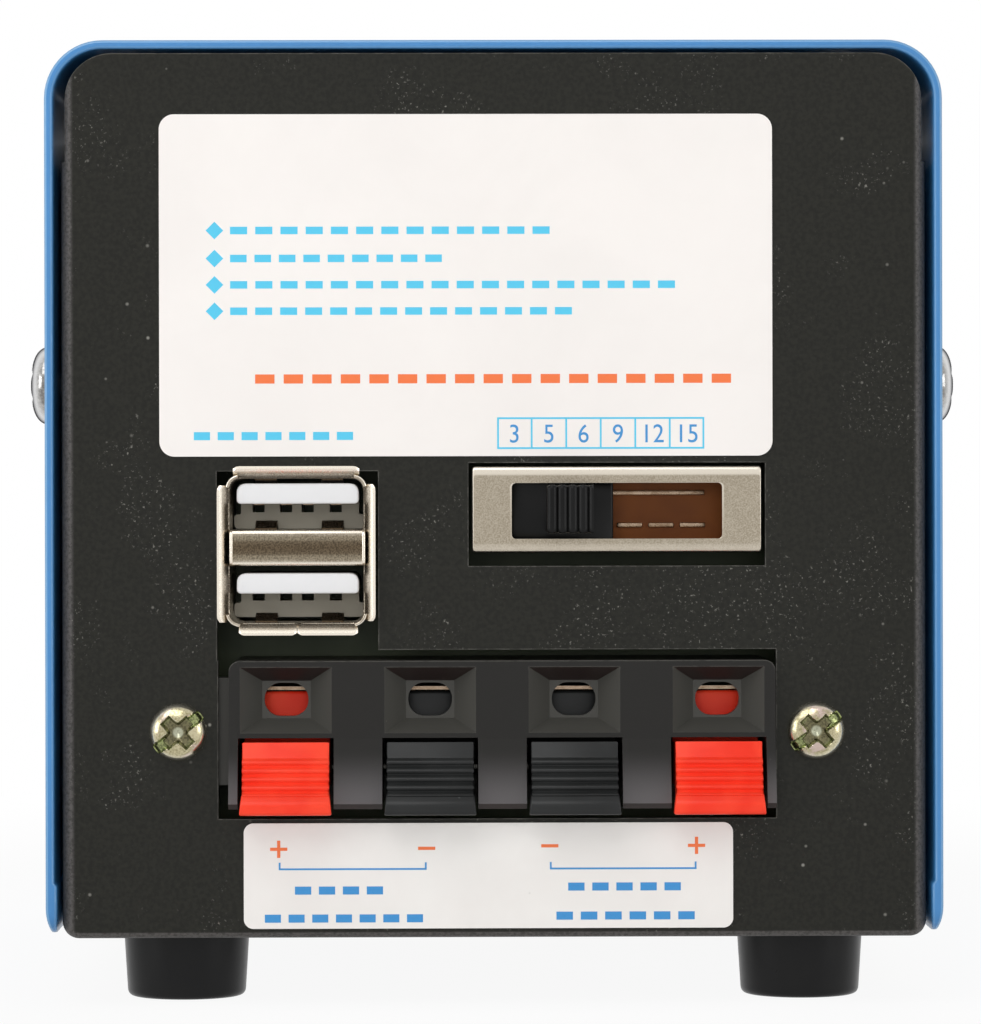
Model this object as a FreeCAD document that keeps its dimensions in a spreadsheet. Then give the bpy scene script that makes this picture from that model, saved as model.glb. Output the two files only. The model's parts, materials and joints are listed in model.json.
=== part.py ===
import FreeCAD, Part
import Sketcher
import math
import os
import re

os.makedirs("parts", exist_ok=True)
doc = FreeCAD.newDocument("HandCrankGenerator")

# A hand crank generator: a sheet metal case on four feet, its outputs on the front and its crank on the back.
# Frame: +Z up, +Y from the output panel to the crank, origin on the ground under the middle of the whole object.
# Heights named *_z are above the underside of the base; depths named *_in are behind the front of the panel.

driving_sizes = [
    # case
    ("case_width", 83.5, "outside of the cover"),
    ("case_height", 83.5, "top of the cover above the underside of the base"),
    ("case_depth", 116.0, "front of the output panel to the back of the rear panel"),
    ("cover_sheet", 0.8, "cover wall"),
    ("cover_corner", 5.4, "outer radius of the two top bends"),
    ("cover_lift", 0.5, "cover edge above the underside of the base"),
    ("cover_overhang", 0.4, "cover edge beyond each panel"),
    ("cover_end_corner", 2.0, "rounding of the cover's four lower ends"),
    ("chassis_width", 80.6, "over the side flanges"),
    ("chassis_top_gap", 0.4, "panel top to the inside of the cover"),
    ("chassis_sheet", 1.2, "chassis wall"),
    ("chassis_bend", 1.6, "outer radius of the chassis bends"),
    ("base_bend", 0.8, "outer radius of the base's bends into the panels"),
    ("panel_step", 0.4, "panel narrower than the flanges on each side above them"),
    ("panel_corner", 4.4, "radius of the panel's top corners"),
    ("flange_top_z", 72.2, "top of the panel's side flanges"),
    ("flange_depth", 18.0, "length of the panel's side flanges"),
    ("base_flange", 12.0, "height of the base's side flanges"),
    # feet and outside screws
    ("foot_height", 6.5, "ground to the underside of the base"),
    ("foot_top", 12.0, "diameter of a foot at the base"),
    ("foot_bottom", 11.2, "diameter of a foot at the ground"),
    ("foot_edge", 1.0, "rounding of a foot's lower edge"),
    ("foot_spread", 58.6, "between the feet, side to side"),
    ("foot_inset", 13.0, "foot centre behind the panel"),
    ("foot_recess", 7.0, "diameter of the screw recess in a foot"),
    ("foot_recess_depth", 3.2, "depth of that recess"),
    ("small_screw", 3.0, "diameter of the small screws"),
    ("small_head", 5.4, "diameter of their pan heads"),
    ("small_head_high", 1.9, "height of their pan heads"),
    ("small_nut_flats", 5.5, "across flats of their nuts and spacers"),
    ("small_nut_thick", 2.4, "height of their nuts"),
    ("side_screw", 4.0, "diameter of the cover screws"),
    ("side_head", 7.5, "diameter of their heads"),
    ("side_head_high", 2.2, "height of their heads"),
    ("side_screw_long", 8.0, "length under their heads"),
    ("side_screw_z", 51.7, "height of the cover screws"),
    ("side_screw_in", 12.0, "cover screws in from each panel"),
    ("side_nut_round", 7.5, "diameter of the cover nuts"),
    ("side_nut_thick", 3.0, "height of the cover nuts"),
    ("screw_play", 0.1, "radial clearance of a screw in its hole"),
    ("tip_cone", 0.4, "cone at the tip of a screw"),
    ("thread_past", 0.6, "foot screw beyond its nut"),
    ("cut_over", 1.0, "how far a cut runs past a face, and a pad into its neighbour"),
    # labels
    ("label_thick", 0.2, "both labels"),
    ("label_x", -2.6, "centre of the upper label"),
    ("label_wide", 57.0, "upper label"),
    ("label_low_z", 44.8, "lower edge of the upper label"),
    ("label_high_z", 76.6, "upper edge of the upper label"),
    ("label_corner", 1.4, "corner radius of the upper label"),
    ("strip_x", -0.6, "centre of the lower label"),
    ("strip_wide", 45.5, "lower label"),
    ("strip_low_z", 0.9, "lower edge of the lower label"),
    ("strip_high_z", 10.7, "upper edge of the lower label"),
    ("strip_corner", 0.9, "corner radius of the lower label"),
    # circuit board
    ("board_in", 15.5, "front of the circuit board"),
    ("board_thick", 1.6, "circuit board"),
    ("board_wide", 72.0, "circuit board"),
    ("board_low_z", 9.0, "lower edge of the circuit board"),
    ("board_high_z", 58.0, "upper edge of the circuit board"),
    ("board_play", 0.1, "clearance of a tail in the circuit board"),
    ("tail_past", 1.0, "switch tails beyond the circuit board"),
    ("panel_screw_past", 5.0, "panel screws beyond the block's ears"),
    ("board_screw_past", 4.0, "board screws beyond the circuit board"),
    ("capacitor_round", 10.0, "reservoir capacitors"),
    ("capacitor_long", 16.0, "reservoir capacitors"),
    ("capacitor_bead", 0.3, "depth of the bead round a capacitor, and its end's rounding"),
    ("capacitor_x", -20.0, "between the two capacitors"),
    ("capacitor_pitch", 12.0, "capacitor to capacitor"),
    ("capacitor_z", 47.0, "height of the capacitors"),
    ("choke_round", 16.0, "toroidal choke"),
    ("choke_bore", 6.0, "hole of the choke"),
    ("choke_thick", 7.0, "toroidal choke"),
    ("choke_edge", 0.8, "rounding of the choke's edges"),
    ("choke_x", -18.0, "centre of the choke"),
    ("choke_z", 31.0, "height of the choke"),
    ("bridge_wide", 15.0, "bridge rectifier"),
    ("bridge_high", 11.0, "bridge rectifier"),
    ("bridge_thick", 3.5, "bridge rectifier"),
    ("bridge_x", 2.0, "centre of the bridge rectifier"),
    ("bridge_z", 49.0, "height of the bridge rectifier"),
    ("sink_x", 25.5, "centre of the heat sink"),
    ("sink_z", 45.0, "underside of the heat sink"),
    ("sink_wide", 20.0, "heat sink"),
    ("sink_long", 18.0, "heat sink"),
    ("sink_floor", 2.0, "floor of the heat sink under its fins"),
    ("fin_count", 6, "fins of the heat sink"),
    ("fin_thick", 1.5, "fins of the heat sink"),
    ("fin_high", 10.0, "fins of the heat sink"),
    ("regulator_wide", 10.0, "regulator"),
    ("regulator_tab", 1.3, "thickness of its tab"),
    ("regulator_tab_long", 15.5, "length of its tab"),
    ("regulator_body", 3.1, "thickness of its body"),
    ("regulator_body_long", 9.0, "length of its body"),
    ("regulator_lead", 1.0, "its leads, out of the circuit board"),
    ("regulator_lead_pitch", 2.54, "lead to lead"),
    ("regulator_lead_wide", 0.8, "lead"),
    ("regulator_lead_thick", 0.5, "lead"),
    # terminal block
    ("block_x", 0.7, "centre of the terminal block"),
    ("block_wide", 50.8, "terminal block"),
    ("block_low_z", 12.1, "underside of the terminal block"),
    ("block_high_z", 25.8, "top of the terminal block"),
    ("block_proud", 0.8, "upper face in front of the panel"),
    ("block_ramp", 2.3, "lower edge in front of the panel"),
    ("block_bend_z", 18.4, "where the front begins to slope out"),
    ("block_corner", 1.0, "radius of the block's top corners"),
    ("block_toe", 0.5, "flat and chamfer at the foot of the block's front"),
    ("pin_end", 1.6, "lever pin from each end of the block"),
    ("throat_edge", 0.4, "throat of a funnel over its wire hole"),
    ("slot_top_play", 0.4, "lever to the roof of its slot"),
    ("window_wide", 51.9, "window round the terminal block, centred on its screws"),
    ("window_low_z", 11.1, "lower edge of that window"),
    ("window_high_z", 26.8, "upper edge of that window"),
    ("clip_pitch", 13.4, "terminal to terminal"),
    ("ear_span", 59.3, "between the two panel screws"),
    ("ear_x", 0.25, "middle of the two panel screws"),
    ("ear_z", 19.2, "height of the panel screws"),
    ("ear_thick", 3.0, "thickness of the block's ears"),
    ("ear_high", 10.0, "height of the block's ears"),
    ("ear_beyond", 4.0, "ear beyond the screw's centre"),
    ("funnel_wide", 8.5, "mouth of a wire funnel"),
    ("funnel_low_z", 19.1, "lower edge of the mouth"),
    ("funnel_high_z", 25.2, "upper edge of the mouth"),
    ("funnel_deep", 2.4, "depth of the funnel"),
    ("wire_hole_wide", 4.1, "wire hole"),
    ("wire_hole_high", 3.1, "wire hole"),
    ("wire_hole_corner", 1.5, "corner radius of the wire hole"),
    ("slot_wide", 8.9, "lever slot"),
    ("slot_top_z", 18.65, "roof of the lever slot"),
    ("slot_deep", 14.3, "lever slot behind the panel"),
    ("chamber_in", 2.8, "front of the wire chamber, behind the wall with the wire hole"),
    ("chamber_top_z", 24.8, "roof of the wire chamber"),
    ("lever_wide", 8.1, "lever"),
    ("lip_wide", 8.5, "lip of the lever"),
    ("lever_top_z", 18.25, "top of the lever"),
    ("lip_top_z", 13.2, "top of the lip"),
    ("lip_low_z", 11.6, "underside of the lip"),
    ("lever_top_reach", 0.9, "top edge in front of the panel"),
    ("lever_reach", 3.6, "lip in front of the panel"),
    ("lip_deep", 0.9, "lip in front of the ribs"),
    ("lip_round", 0.3, "chamfers of the lip"),
    ("lever_under_z", 14.0, "underside of the lever behind the panel"),
    ("gate_in", 4.4, "upright plate of the lever, behind the panel"),
    ("gate_thick", 1.2, "upright plate"),
    ("gate_top_z", 22.8, "top of the upright plate, which closes the wire hole"),
    ("heel_in", 13.0, "heel of the lever behind the panel"),
    ("heel_low_z", 14.2, "underside of the heel"),
    ("heel_high_z", 15.6, "rear edge of the heel's top"),
    ("boss_half", 1.8, "lever above and below its pin"),
    ("rib_count", 5, "ribs on a lever"),
    ("rib_high", 0.3, "height of a rib"),
    ("lever_pin", 1.6, "diameter of the lever pin"),
    ("lever_pin_in", 11.0, "lever pin behind the panel"),
    ("lever_pin_z", 15.4, "height of the lever pin"),
    ("pin_play", 0.05, "radial clearance of a pin in its hole"),
    ("fixed_play", 0.02, "radial clearance of a pin or shaft that doesn't turn in its hole"),
    ("clip_metal", 0.3, "thickness of the terminal contacts"),
    ("clip_z", 22.95, "underside of a contact, over the upright plate"),
    ("clip_in", 4.3, "front edge of a contact"),
    ("clip_leg_z", 19.6, "lower end of a contact's upright leg"),
    ("clip_tail_z", 20.6, "height of a contact's tail"),
    ("clip_tail", 0.9, "width and height of a tail"),
    ("spring_metal", 0.3, "thickness of the terminal springs"),
    ("spring_gap", 0.5, "spring above the heel"),
    ("spring_foot", 0.8, "foot of a spring over and in front of the block's rear wall"),
    ("clip_metal_wide", 6.0, "width of contacts and springs"),
    ("rear_gap", 0.3, "contacts to the circuit board"),
    # USB receptacle
    ("usb_x", -18.3, "centre of the receptacle"),
    ("usb_z", 35.9, "middle of the divider"),
    ("usb_wide", 13.1, "outside of the shell"),
    ("usb_high", 14.1, "outside of the shell"),
    ("usb_metal", 0.35, "shell wall"),
    ("usb_corner", 1.1, "outer radius of the shell"),
    ("usb_proud", 0.8, "mouth in front of the panel"),
    ("usb_divider", 3.3, "height of the divider"),
    ("usb_lip_out", 0.95, "flare of the lips"),
    ("usb_lip_deep", 1.3, "depth of the flare"),
    ("usb_side_lip", 10.8, "height of each side lip"),
    ("usb_end_lip", 11.4, "width of the upper and lower lips"),
    ("usb_seam", 0.2, "gap of the seam in the lower lip"),
    ("usb_lip_edge", 0.3, "slant of a lip's edge"),
    ("usb_lip_in", 0.1, "lips sunk in the shell, and their edge in front of the mouth"),
    ("tongue_wide", 11.1, "contact tongue"),
    ("tongue_thick", 1.9, "contact tongue"),
    ("tongue_long", 8.9, "contact tongue in front of its block"),
    ("tongue_roof", 0.6, "roof of a port to its tongue"),
    ("tongue_back", 1.4, "tip of the tongue behind the mouth"),
    ("contact_back", 1.2, "contacts behind the tip of their tongue"),
    ("port_step", 0.9, "height of the narrow upper part of the block at the back of a port"),
    ("pocket_wide", 1.3, "pocket round a contact in that block"),
    ("pocket_high", 0.85, "pocket round a contact in that block"),
    ("pocket_deep", 1.0, "pocket round a contact in that block"),
    ("contact_wide", 1.0, "USB contact"),
    ("contact_thick", 0.2, "USB contact"),
    ("contact_outer", 7.0, "between the two outer contacts of a port"),
    ("contact_inner", 2.0, "between the two inner contacts of a port"),
    # slide switch
    ("switch_x", 11.4, "centre of the switch"),
    ("switch_z", 39.85, "middle of the switch"),
    ("switch_wide", 26.9, "frame"),
    ("switch_high", 7.95, "frame"),
    ("switch_deep", 7.0, "frame behind its face"),
    ("switch_metal", 0.5, "frame wall"),
    ("switch_proud", 0.3, "face in front of the panel"),
    ("switch_corner", 0.8, "outer bend of the frame"),
    ("switch_slot_wide", 19.5, "window of the frame"),
    ("switch_slot_high", 5.1, "window of the frame"),
    ("switch_play", 0.35, "cut-out edge to the frame"),
    ("switch_cut_low", 1.3, "cut-out below the frame"),
    ("switch_board_thick", 1.2, "switch contact board"),
    ("switch_pitch", 2.95, "position to position"),
    ("switch_position", 2, "position at rest"),
    ("switch_positions", 6, "positions"),
    ("slider_wide", 9.0, "base of the slider"),
    ("slider_high", 6.4, "base of the slider"),
    ("slider_thick", 2.0, "base of the slider"),
    ("slider_play", 0.2, "slider to the frame and to the contact board"),
    ("knob_wide", 4.3, "knob of the slider"),
    ("knob_high", 4.5, "knob of the slider"),
    ("knob_proud", 4.2, "knob in front of the panel"),
    ("knob_rib_pitch", 0.8, "ribs of the knob"),
    ("knob_rib_deep", 0.3, "depth of the grooves between the ribs"),
    ("strip_metal", 0.25, "switch contact strips"),
    ("strip_tall", 0.9, "switch contact strips"),
    ("strip_gap", 0.6, "between two of the lower strips"),
    ("upper_strip", 1.6, "upper strip above the switch's middle"),
    ("lower_strip", 1.5, "lower strips below the switch's middle"),
    ("switch_tail_wide", 0.8, "switch tails"),
    ("switch_tail_thick", 0.5, "switch tails"),
    ("switch_slot_corner", 0.5, "corners of the frame's window"),
    ("switch_board_play", 0.3, "contact board in from each end of the frame"),
    ("knob_edge", 0.3, "chamfer of the knob"),
    ("knob_ribs", 4, "grooves of the knob"),
    # gearbox
    ("crank_z", 50.0, "crank shaft above the underside of the base"),
    ("gear_module", 0.8, "all gears"),
    ("crank_teeth", 60, "wheel on the crank shaft"),
    ("idler_small_teeth", 12, "idler's small gear"),
    ("idler_large_teeth", 48, "idler's large gear"),
    ("motor_teeth", 12, "motor pinion"),
    ("gear_shift", 0.3, "profile shift of the small gears"),
    ("gear_backlash", 0.12, "play between two teeth"),
    ("pressure_angle", 20, "all gears, in degrees"),
    ("tooth_root", 1.25, "pitch circle to the root of a tooth, in modules"),
    ("idler_angle", 231.3, "crank shaft to idler, from +X towards +Z"),
    ("motor_angle", -16.6, "idler to motor, from +X towards +Z"),
    ("gear_plate", 2.0, "gear plates"),
    ("gear_space", 20.0, "between the gear plates"),
    ("gear_plate_left", 37.5, "gear plates, left of the crank shaft"),
    ("gear_plate_right", 32.0, "gear plates, right of the crank shaft"),
    ("gear_plate_low_z", 4.2, "lower edge of the gear plates"),
    ("gear_plate_high_z", 78.0, "upper edge of the gear plates"),
    ("gear_plate_corner", 4.0, "corner radius of the gear plates"),
    ("pillar_round", 6.0, "gear pillars"),
    ("pillar_left", 33.0, "left pillars from the crank shaft"),
    ("pillar_right", 27.5, "right pillars from the crank shaft"),
    ("pillar_low_z", 8.8, "lower pillars"),
    ("pillar_high_z", 73.5, "upper pillars"),
    ("pillar_tap", 8.0, "depth of the threads in a pillar"),
    ("wheel_face", 5.0, "face width of the crank wheel"),
    ("large_face", 4.0, "face width of the idler's large gear"),
    ("small_face", 7.0, "face width of the small gears"),
    ("wheel_gap", 1.5, "rear plate to the crank wheel"),
    ("wheel_hub", 14.0, "hub of the crank wheel"),
    ("wheel_web", 2.0, "web of the large gears"),
    ("wheel_rim", 3.0, "rim of the large gears under their teeth"),
    ("idler_pin", 5.0, "idler's fixed pin"),
    ("idler_hub", 8.4, "hub between the idler's gears"),
    ("gear_end_play", 0.5, "idler to the plates"),
    ("pinion_gap", 0.8, "front plate to the motor pinion"),
    ("web_hole", 5.2, "holes through the crank wheel's web"),
    ("web_holes", 6, "holes through the crank wheel's web"),
    ("gear_screw_short", 1.0, "gearbox screws short of the bottom of their threads"),
    # crank
    ("shaft_round", 8.0, "crank shaft"),
    ("shaft_flat", 1.0, "depth of each flat on the crank shaft"),
    ("collar_thick", 1.6, "collar of the crank shaft"),
    ("collar_gap", 0.3, "collar to the front bush, and shaft end to the arm's outer face"),
    ("shaft_past", 2.0, "crank shaft in front of its front bush"),
    ("bush_past", 1.0, "rear bush beyond the rear panel"),
    ("bush_round", 12.0, "outside of the crank bushes"),
    ("bush_flange", 15.0, "flange of the crank bushes"),
    ("bush_flange_thick", 1.0, "flange of the crank bushes"),
    ("bush_play", 0.05, "radial clearance of a shaft in its bush"),
    ("crank_radius", 45.0, "crank shaft to grip"),
    ("arm_gap", 5.0, "rear panel to the crank arm"),
    ("arm_thick", 4.0, "crank arm"),
    ("arm_wide", 15.0, "crank arm"),
    ("arm_boss", 20.0, "round end of the arm on the shaft"),
    ("arm_edge", 0.5, "chamfer round the arm's outer face"),
    ("crank_head", 9.0, "head of the crank screw"),
    ("crank_head_high", 3.0, "head of the crank screw"),
    ("crank_screw", 5.0, "crank screw"),
    ("crank_screw_long", 12.0, "crank screw under its head"),
    ("grip_gap", 0.5, "crank arm to the grip"),
    ("grip_round", 18.0, "widest diameter of the grip"),
    ("grip_waist", 15.0, "narrow ends of the grip"),
    ("grip_long", 46.0, "length of the grip"),
    ("grip_bolt", 6.0, "shoulder of the grip bolt"),
    ("grip_bolt_head", 10.0, "head of the grip bolt"),
    ("grip_bolt_head_high", 2.5, "head of the grip bolt"),
    ("grip_recess", 12.0, "recess for that head"),
    ("grip_recess_deep", 3.5, "recess for that head"),
    ("grip_play", 0.1, "radial clearance of the grip on its bolt"),
    ("grip_rings", 7, "grooves round the grip"),
    ("grip_ring_pitch", 0.1, "groove to groove, as a share of the grip's length"),
    ("grip_groove_deep", 0.5, "depth of the grooves"),
    ("grip_groove_flank", 0.3, "sloping side of a groove"),
    ("grip_edge", 1.0, "rounding of the grip's ends"),
    ("bolt_edge", 0.8, "rounding of the grip bolt's head"),
    ("bolt_end_play", 0.2, "grip between the arm and the bolt's head"),
    ("grip_groove", 1.2, "width of the grooves round the grip"),
    # motor
    ("motor_round", 35.8, "motor can"),
    ("motor_long", 44.0, "motor can"),
    ("can_wall", 1.5, "motor can"),
    ("cap_thick", 3.0, "motor end cap"),
    ("magnet_thick", 4.0, "magnets"),
    ("air_gap", 0.6, "magnets to the armature"),
    ("armature_long", 22.0, "armature stack"),
    ("armature_poles", 5, "armature poles"),
    ("motor_shaft", 3.2, "motor shaft"),
    ("motor_boss", 10.0, "bearing boss of the can"),
    ("motor_boss_high", 2.0, "bearing boss of the can"),
    ("motor_bush", 6.0, "outside of the motor bushes"),
    ("motor_screw_circle", 25.0, "circle of the motor screws"),
    ("motor_edge", 1.0, "rounding of the motor's ends"),
    ("brush_slot_at", 10.0, "slots of the end cap from the shaft"),
    ("brush_slot_wide", 1.2, "slots of the end cap"),
    ("brush_slot_high", 4.0, "slots of the end cap"),
    ("magnet_gap", 7.0, "between the two magnets"),
    ("magnet_past", 2.0, "magnets beyond each end of the armature"),
    ("pole_slot_wide", 1.4, "mouth of an armature slot"),
    ("pole_slot_deep", 1.2, "mouth of an armature slot"),
    ("winding_long", 3.0, "windings beyond each end of the armature"),
    ("winding_in", 2.0, "windings inside the armature's outline"),
    ("winding_bore", 1.0, "windings clear of the shaft"),
    ("winding_room", 4.0, "commutator to the armature"),
    ("commutator_gap", 0.5, "end cap to the commutator"),
    ("shaft_out", 1.0, "motor shaft in front of the end cap"),
    ("pinion_out", 0.5, "motor shaft beyond its pinion"),
    ("commutator_round", 9.0, "commutator"),
    ("commutator_long", 7.0, "commutator"),
]

sheet = doc.addObject("Spreadsheet::Sheet", "Dims")
for row, (name, size, note) in enumerate(driving_sizes, 1):
    sheet.set(f"A{row}", name)
    sheet.set(f"B{row}", str(size))
    sheet.set(f"C{row}", note)
    sheet.setAlias(f"B{row}", name)
doc.recompute()

size_names = {name for name, size, note in driving_sizes}
pieces = []


def full(formula):
    """The formula with every size name written as a reference to the sheet."""
    return re.sub(r"[A-Za-z_]\w*", lambda word: f"Dims.{word[0]}" if word[0] in size_names else word[0],
                  str(formula))


def value(formula):
    """The formula's number."""
    return float(sheet.evalExpression(full(formula)))


def rect(x0, y0, x1, y1):
    return "polygon", [(x0, y0), (x1, y0), (x1, y1), (x0, y1)]


def box_at(x, y, wide, high):
    """A rectangle round its centre."""
    return rect(f"{x} - ({wide}) / 2", f"{y} - ({high}) / 2", f"{x} + ({wide}) / 2", f"{y} + ({high}) / 2")


def polygon(points):
    return "polygon", points


def circle(x, y, radius):
    return "circle", (x, y, radius)


def rounded(x0, y0, x1, y1, radius):
    """A rectangle with round corners."""
    return "rounded", (x0, y0, x1, y1, radius)


def flatted(x, y, radius, flat):
    """A circle with two upright flats, each flat from its centre by the last size."""
    return "flatted", (x, y, radius, flat)


def hexagon(x, y, flats):
    """A hexagon across flats, one flat up."""
    across = f"({flats}) / sqrt(3)"
    return polygon([(f"{x} + {across} * {math.cos(math.radians(60 * k)):.6f}",
                     f"{y} + {across} * {math.sin(math.radians(60 * k)):.6f}") for k in range(6)])


class Piece:
    """One sub-part: a body whose sketches lie on its own planes, with every size a formula of the sheet.

    plane is XY, XZ or YZ; at is the sketch's place along the remaining axis, and pads and cuts run from there
    towards the positive end of that axis.
    """

    def __init__(self, label):
        self.body = doc.addObject("PartDesign::Body", label)
        self.body.Label = label
        self.label = label
        self.count = 0
        pieces.append(self.body)

    def sketch(self, plane, at):
        self.count += 1
        made = self.body.newObject("Sketcher::SketchObject", f"{self.label}_sketch_{self.count}")
        support = [f for f in self.body.Origin.OriginFeatures if f.Role == f"{plane}_Plane"][0]
        made.AttachmentSupport = [(support, "")]
        made.MapMode = "FlatFace"
        made.setExpression("AttachmentOffset.Base.z", full(f"-({at})" if plane == "XZ" else at))
        return made

    def place(self, sketch, geometry, point, x, y):
        """Ties one point of the sketch to two formulas."""
        for kind, formula in (("DistanceX", x), ("DistanceY", y)):
            index = sketch.addConstraint(Sketcher.Constraint(kind, -1, 1, geometry, point, value(formula)))
            sketch.setExpression(f"Constraints[{index}]", full(formula))

    def round_to(self, sketch, geometry, radius):
        index = sketch.addConstraint(Sketcher.Constraint("Radius", geometry, value(radius)))
        sketch.setExpression(f"Constraints[{index}]", full(radius))

    def draw(self, sketch, outline):
        kind, data = outline
        if kind == "circle":
            x, y, radius = data
            centre = FreeCAD.Vector(value(x), value(y), 0)
            made = sketch.addGeometry(Part.Circle(centre, FreeCAD.Vector(0, 0, 1), value(radius)))
            self.round_to(sketch, made, radius)
            self.place(sketch, made, 3, x, y)
        elif kind == "polygon":
            points = [FreeCAD.Vector(value(x), value(y), 0) for x, y in data]
            total = len(points)
            first = len(sketch.Geometry)
            for k in range(total):
                sketch.addGeometry(Part.LineSegment(points[k], points[(k + 1) % total]))
            for k in range(total):
                following = first + (k + 1) % total
                sketch.addConstraint(Sketcher.Constraint("Coincident", first + k, 2, following, 1))
            for k in range(total):
                self.place(sketch, first + k, 1, *data[k])
        elif kind == "flatted":
            self.draw_flatted(sketch, *data)
        else:
            self.draw_rounded(sketch, *data)

    def draw_flatted(self, sketch, x, y, radius, flat):
        centre = FreeCAD.Vector(value(x), value(y), 0)
        whole = Part.Circle(centre, FreeCAD.Vector(0, 0, 1), value(radius))
        bend = math.acos(value(flat) / value(radius))
        first = len(sketch.Geometry)
        for turn in (0, math.pi):
            arc = Part.ArcOfCircle(whole, bend + turn, math.pi - bend + turn)
            sketch.addGeometry(arc)
            following = Part.ArcOfCircle(whole, bend + turn + math.pi, 2 * math.pi - bend + turn)
            sketch.addGeometry(Part.LineSegment(arc.EndPoint, following.StartPoint))
        for k, way in ((0, "-"), (2, "+")):
            sketch.addConstraint(Sketcher.Constraint("Coincident", first + k, 2, first + k + 1, 1))
            sketch.addConstraint(Sketcher.Constraint("Coincident", first + k + 1, 2, first + (k + 2) % 4, 1))
            sketch.addConstraint(Sketcher.Constraint("Vertical", first + k + 1))
            self.round_to(sketch, first + k, radius)
            self.place(sketch, first + k, 3, x, y)
            side = f"{x} {way} ({flat})"
            index = sketch.addConstraint(Sketcher.Constraint("DistanceX", -1, 1, first + k + 1, 1, value(side)))
            sketch.setExpression(f"Constraints[{index}]", full(side))

    def draw_rounded(self, sketch, x0, y0, x1, y1, radius):
        left, low, right, high, r = (value(f) for f in (x0, y0, x1, y1, radius))
        up = FreeCAD.Vector(0, 0, 1)
        corners = [(right - r, low + r), (right - r, high - r), (left + r, high - r), (left + r, low + r)]
        ends = [((left + r, low), (right - r, low)), ((right, low + r), (right, high - r)),
                ((right - r, high), (left + r, high)), ((left, high - r), (left, low + r))]
        first = len(sketch.Geometry)
        for k in range(4):
            start, end = ends[k]
            sketch.addGeometry(Part.LineSegment(FreeCAD.Vector(*start, 0), FreeCAD.Vector(*end, 0)))
            turn = math.radians(90 * k - 90)
            whole = Part.Circle(FreeCAD.Vector(*corners[k], 0), up, r)
            sketch.addGeometry(Part.ArcOfCircle(whole, turn, turn + math.pi / 2))
        for k in range(4):
            line = first + 2 * k
            arc = line + 1
            following = first + (2 * k + 2) % 8
            sketch.addConstraint(Sketcher.Constraint("Tangent", line, 2, arc, 1))
            sketch.addConstraint(Sketcher.Constraint("Tangent", arc, 2, following, 1))
            sketch.addConstraint(Sketcher.Constraint("Vertical" if k % 2 else "Horizontal", line))
            self.round_to(sketch, arc, radius)
        self.place(sketch, first + 1, 3, f"{x1} - ({radius})", f"{y0} + ({radius})")
        self.place(sketch, first + 5, 3, f"{x0} + ({radius})", f"{y1} - ({radius})")

    def feature(self, kind, plane, at, length, outlines, towards_normal):
        sketch = self.sketch(plane, at)
        for outline in outlines:
            self.draw(sketch, outline)
        made = self.body.newObject(f"PartDesign::{kind}", f"{self.label}_{kind.lower()}_{self.count}")
        made.Profile = sketch
        made.setExpression("Length", full(length))
        made.Reversed = (plane == "XZ") == towards_normal
        sketch.Visibility = False
        return made

    def pad(self, plane, at, length, *outlines):
        self.feature("Pad", plane, at, length, outlines, True)
        doc.recompute()
        return self

    def cut(self, plane, at, length, *outlines):
        before = self.body.Shape.Volume
        made = self.feature("Pocket", plane, at, length, outlines, False)
        doc.recompute()
        if self.body.Shape.Volume > before - 1e-6:
            raise RuntimeError(f"{made.Label} cuts nothing")
        return self

    def turn(self, axis, centre, profile, groove=False):
        """A solid of revolution: the profile is (place along the axis, radius) round an axis through centre."""
        across, up = centre
        if axis == "Z":
            sketch = self.sketch("XZ", up)
            points = [(f"{across} + {radius}", along) for along, radius in profile]
            line = [(across, profile[0][0]), (across, f"{profile[0][0]} + 1")]
        else:
            sketch = self.sketch("YZ" if axis == "Y" else "XZ", across)
            points = [(along, f"{up} + {radius}") for along, radius in profile]
            line = [(profile[0][0], up), (f"{profile[0][0]} + 1", up)]
        self.draw(sketch, polygon(points))
        ends = [FreeCAD.Vector(value(x), value(y), 0) for x, y in line]
        spin = sketch.addGeometry(Part.LineSegment(*ends), True)
        self.place(sketch, spin, 1, *line[0])
        self.place(sketch, spin, 2, *line[1])
        kind = "Groove" if groove else "Revolution"
        made = self.body.newObject(f"PartDesign::{kind}", f"{self.label}_{kind.lower()}_{self.count}")
        made.Profile = sketch
        made.ReferenceAxis = (sketch, ["Axis0"])
        made.Angle = 360
        sketch.Visibility = False
        before = self.body.Shape.Volume if groove else 0
        doc.recompute()
        if groove and self.body.Shape.Volume > before - 1e-6:
            raise RuntimeError(f"{made.Label} cuts nothing")
        return self

    def dress(self, kind, size, chosen):
        """A fillet or chamfer on the edges that chosen(edge) picks."""
        edges = [f"Edge{k}" for k, edge in enumerate(self.body.Shape.Edges, 1) if chosen(edge)]
        if not edges:
            raise RuntimeError(f"{self.label}: no edge for its {kind}")
        carrier = self.body.Tip
        made = self.body.newObject(f"PartDesign::{kind}", f"{self.label}_{kind.lower()}_{self.count}")
        made.Base = (carrier, edges)
        made.setExpression("Radius" if kind == "Fillet" else "Size", full(size))
        doc.recompute()
        if made.Shape.isNull() or "Invalid" in made.State:
            raise RuntimeError(f"{made.Label} failed")
        return self

    def fillet(self, size, chosen):
        return self.dress("Fillet", size, chosen)

    def chamfer(self, size, chosen):
        return self.dress("Chamfer", size, chosen)

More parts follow.
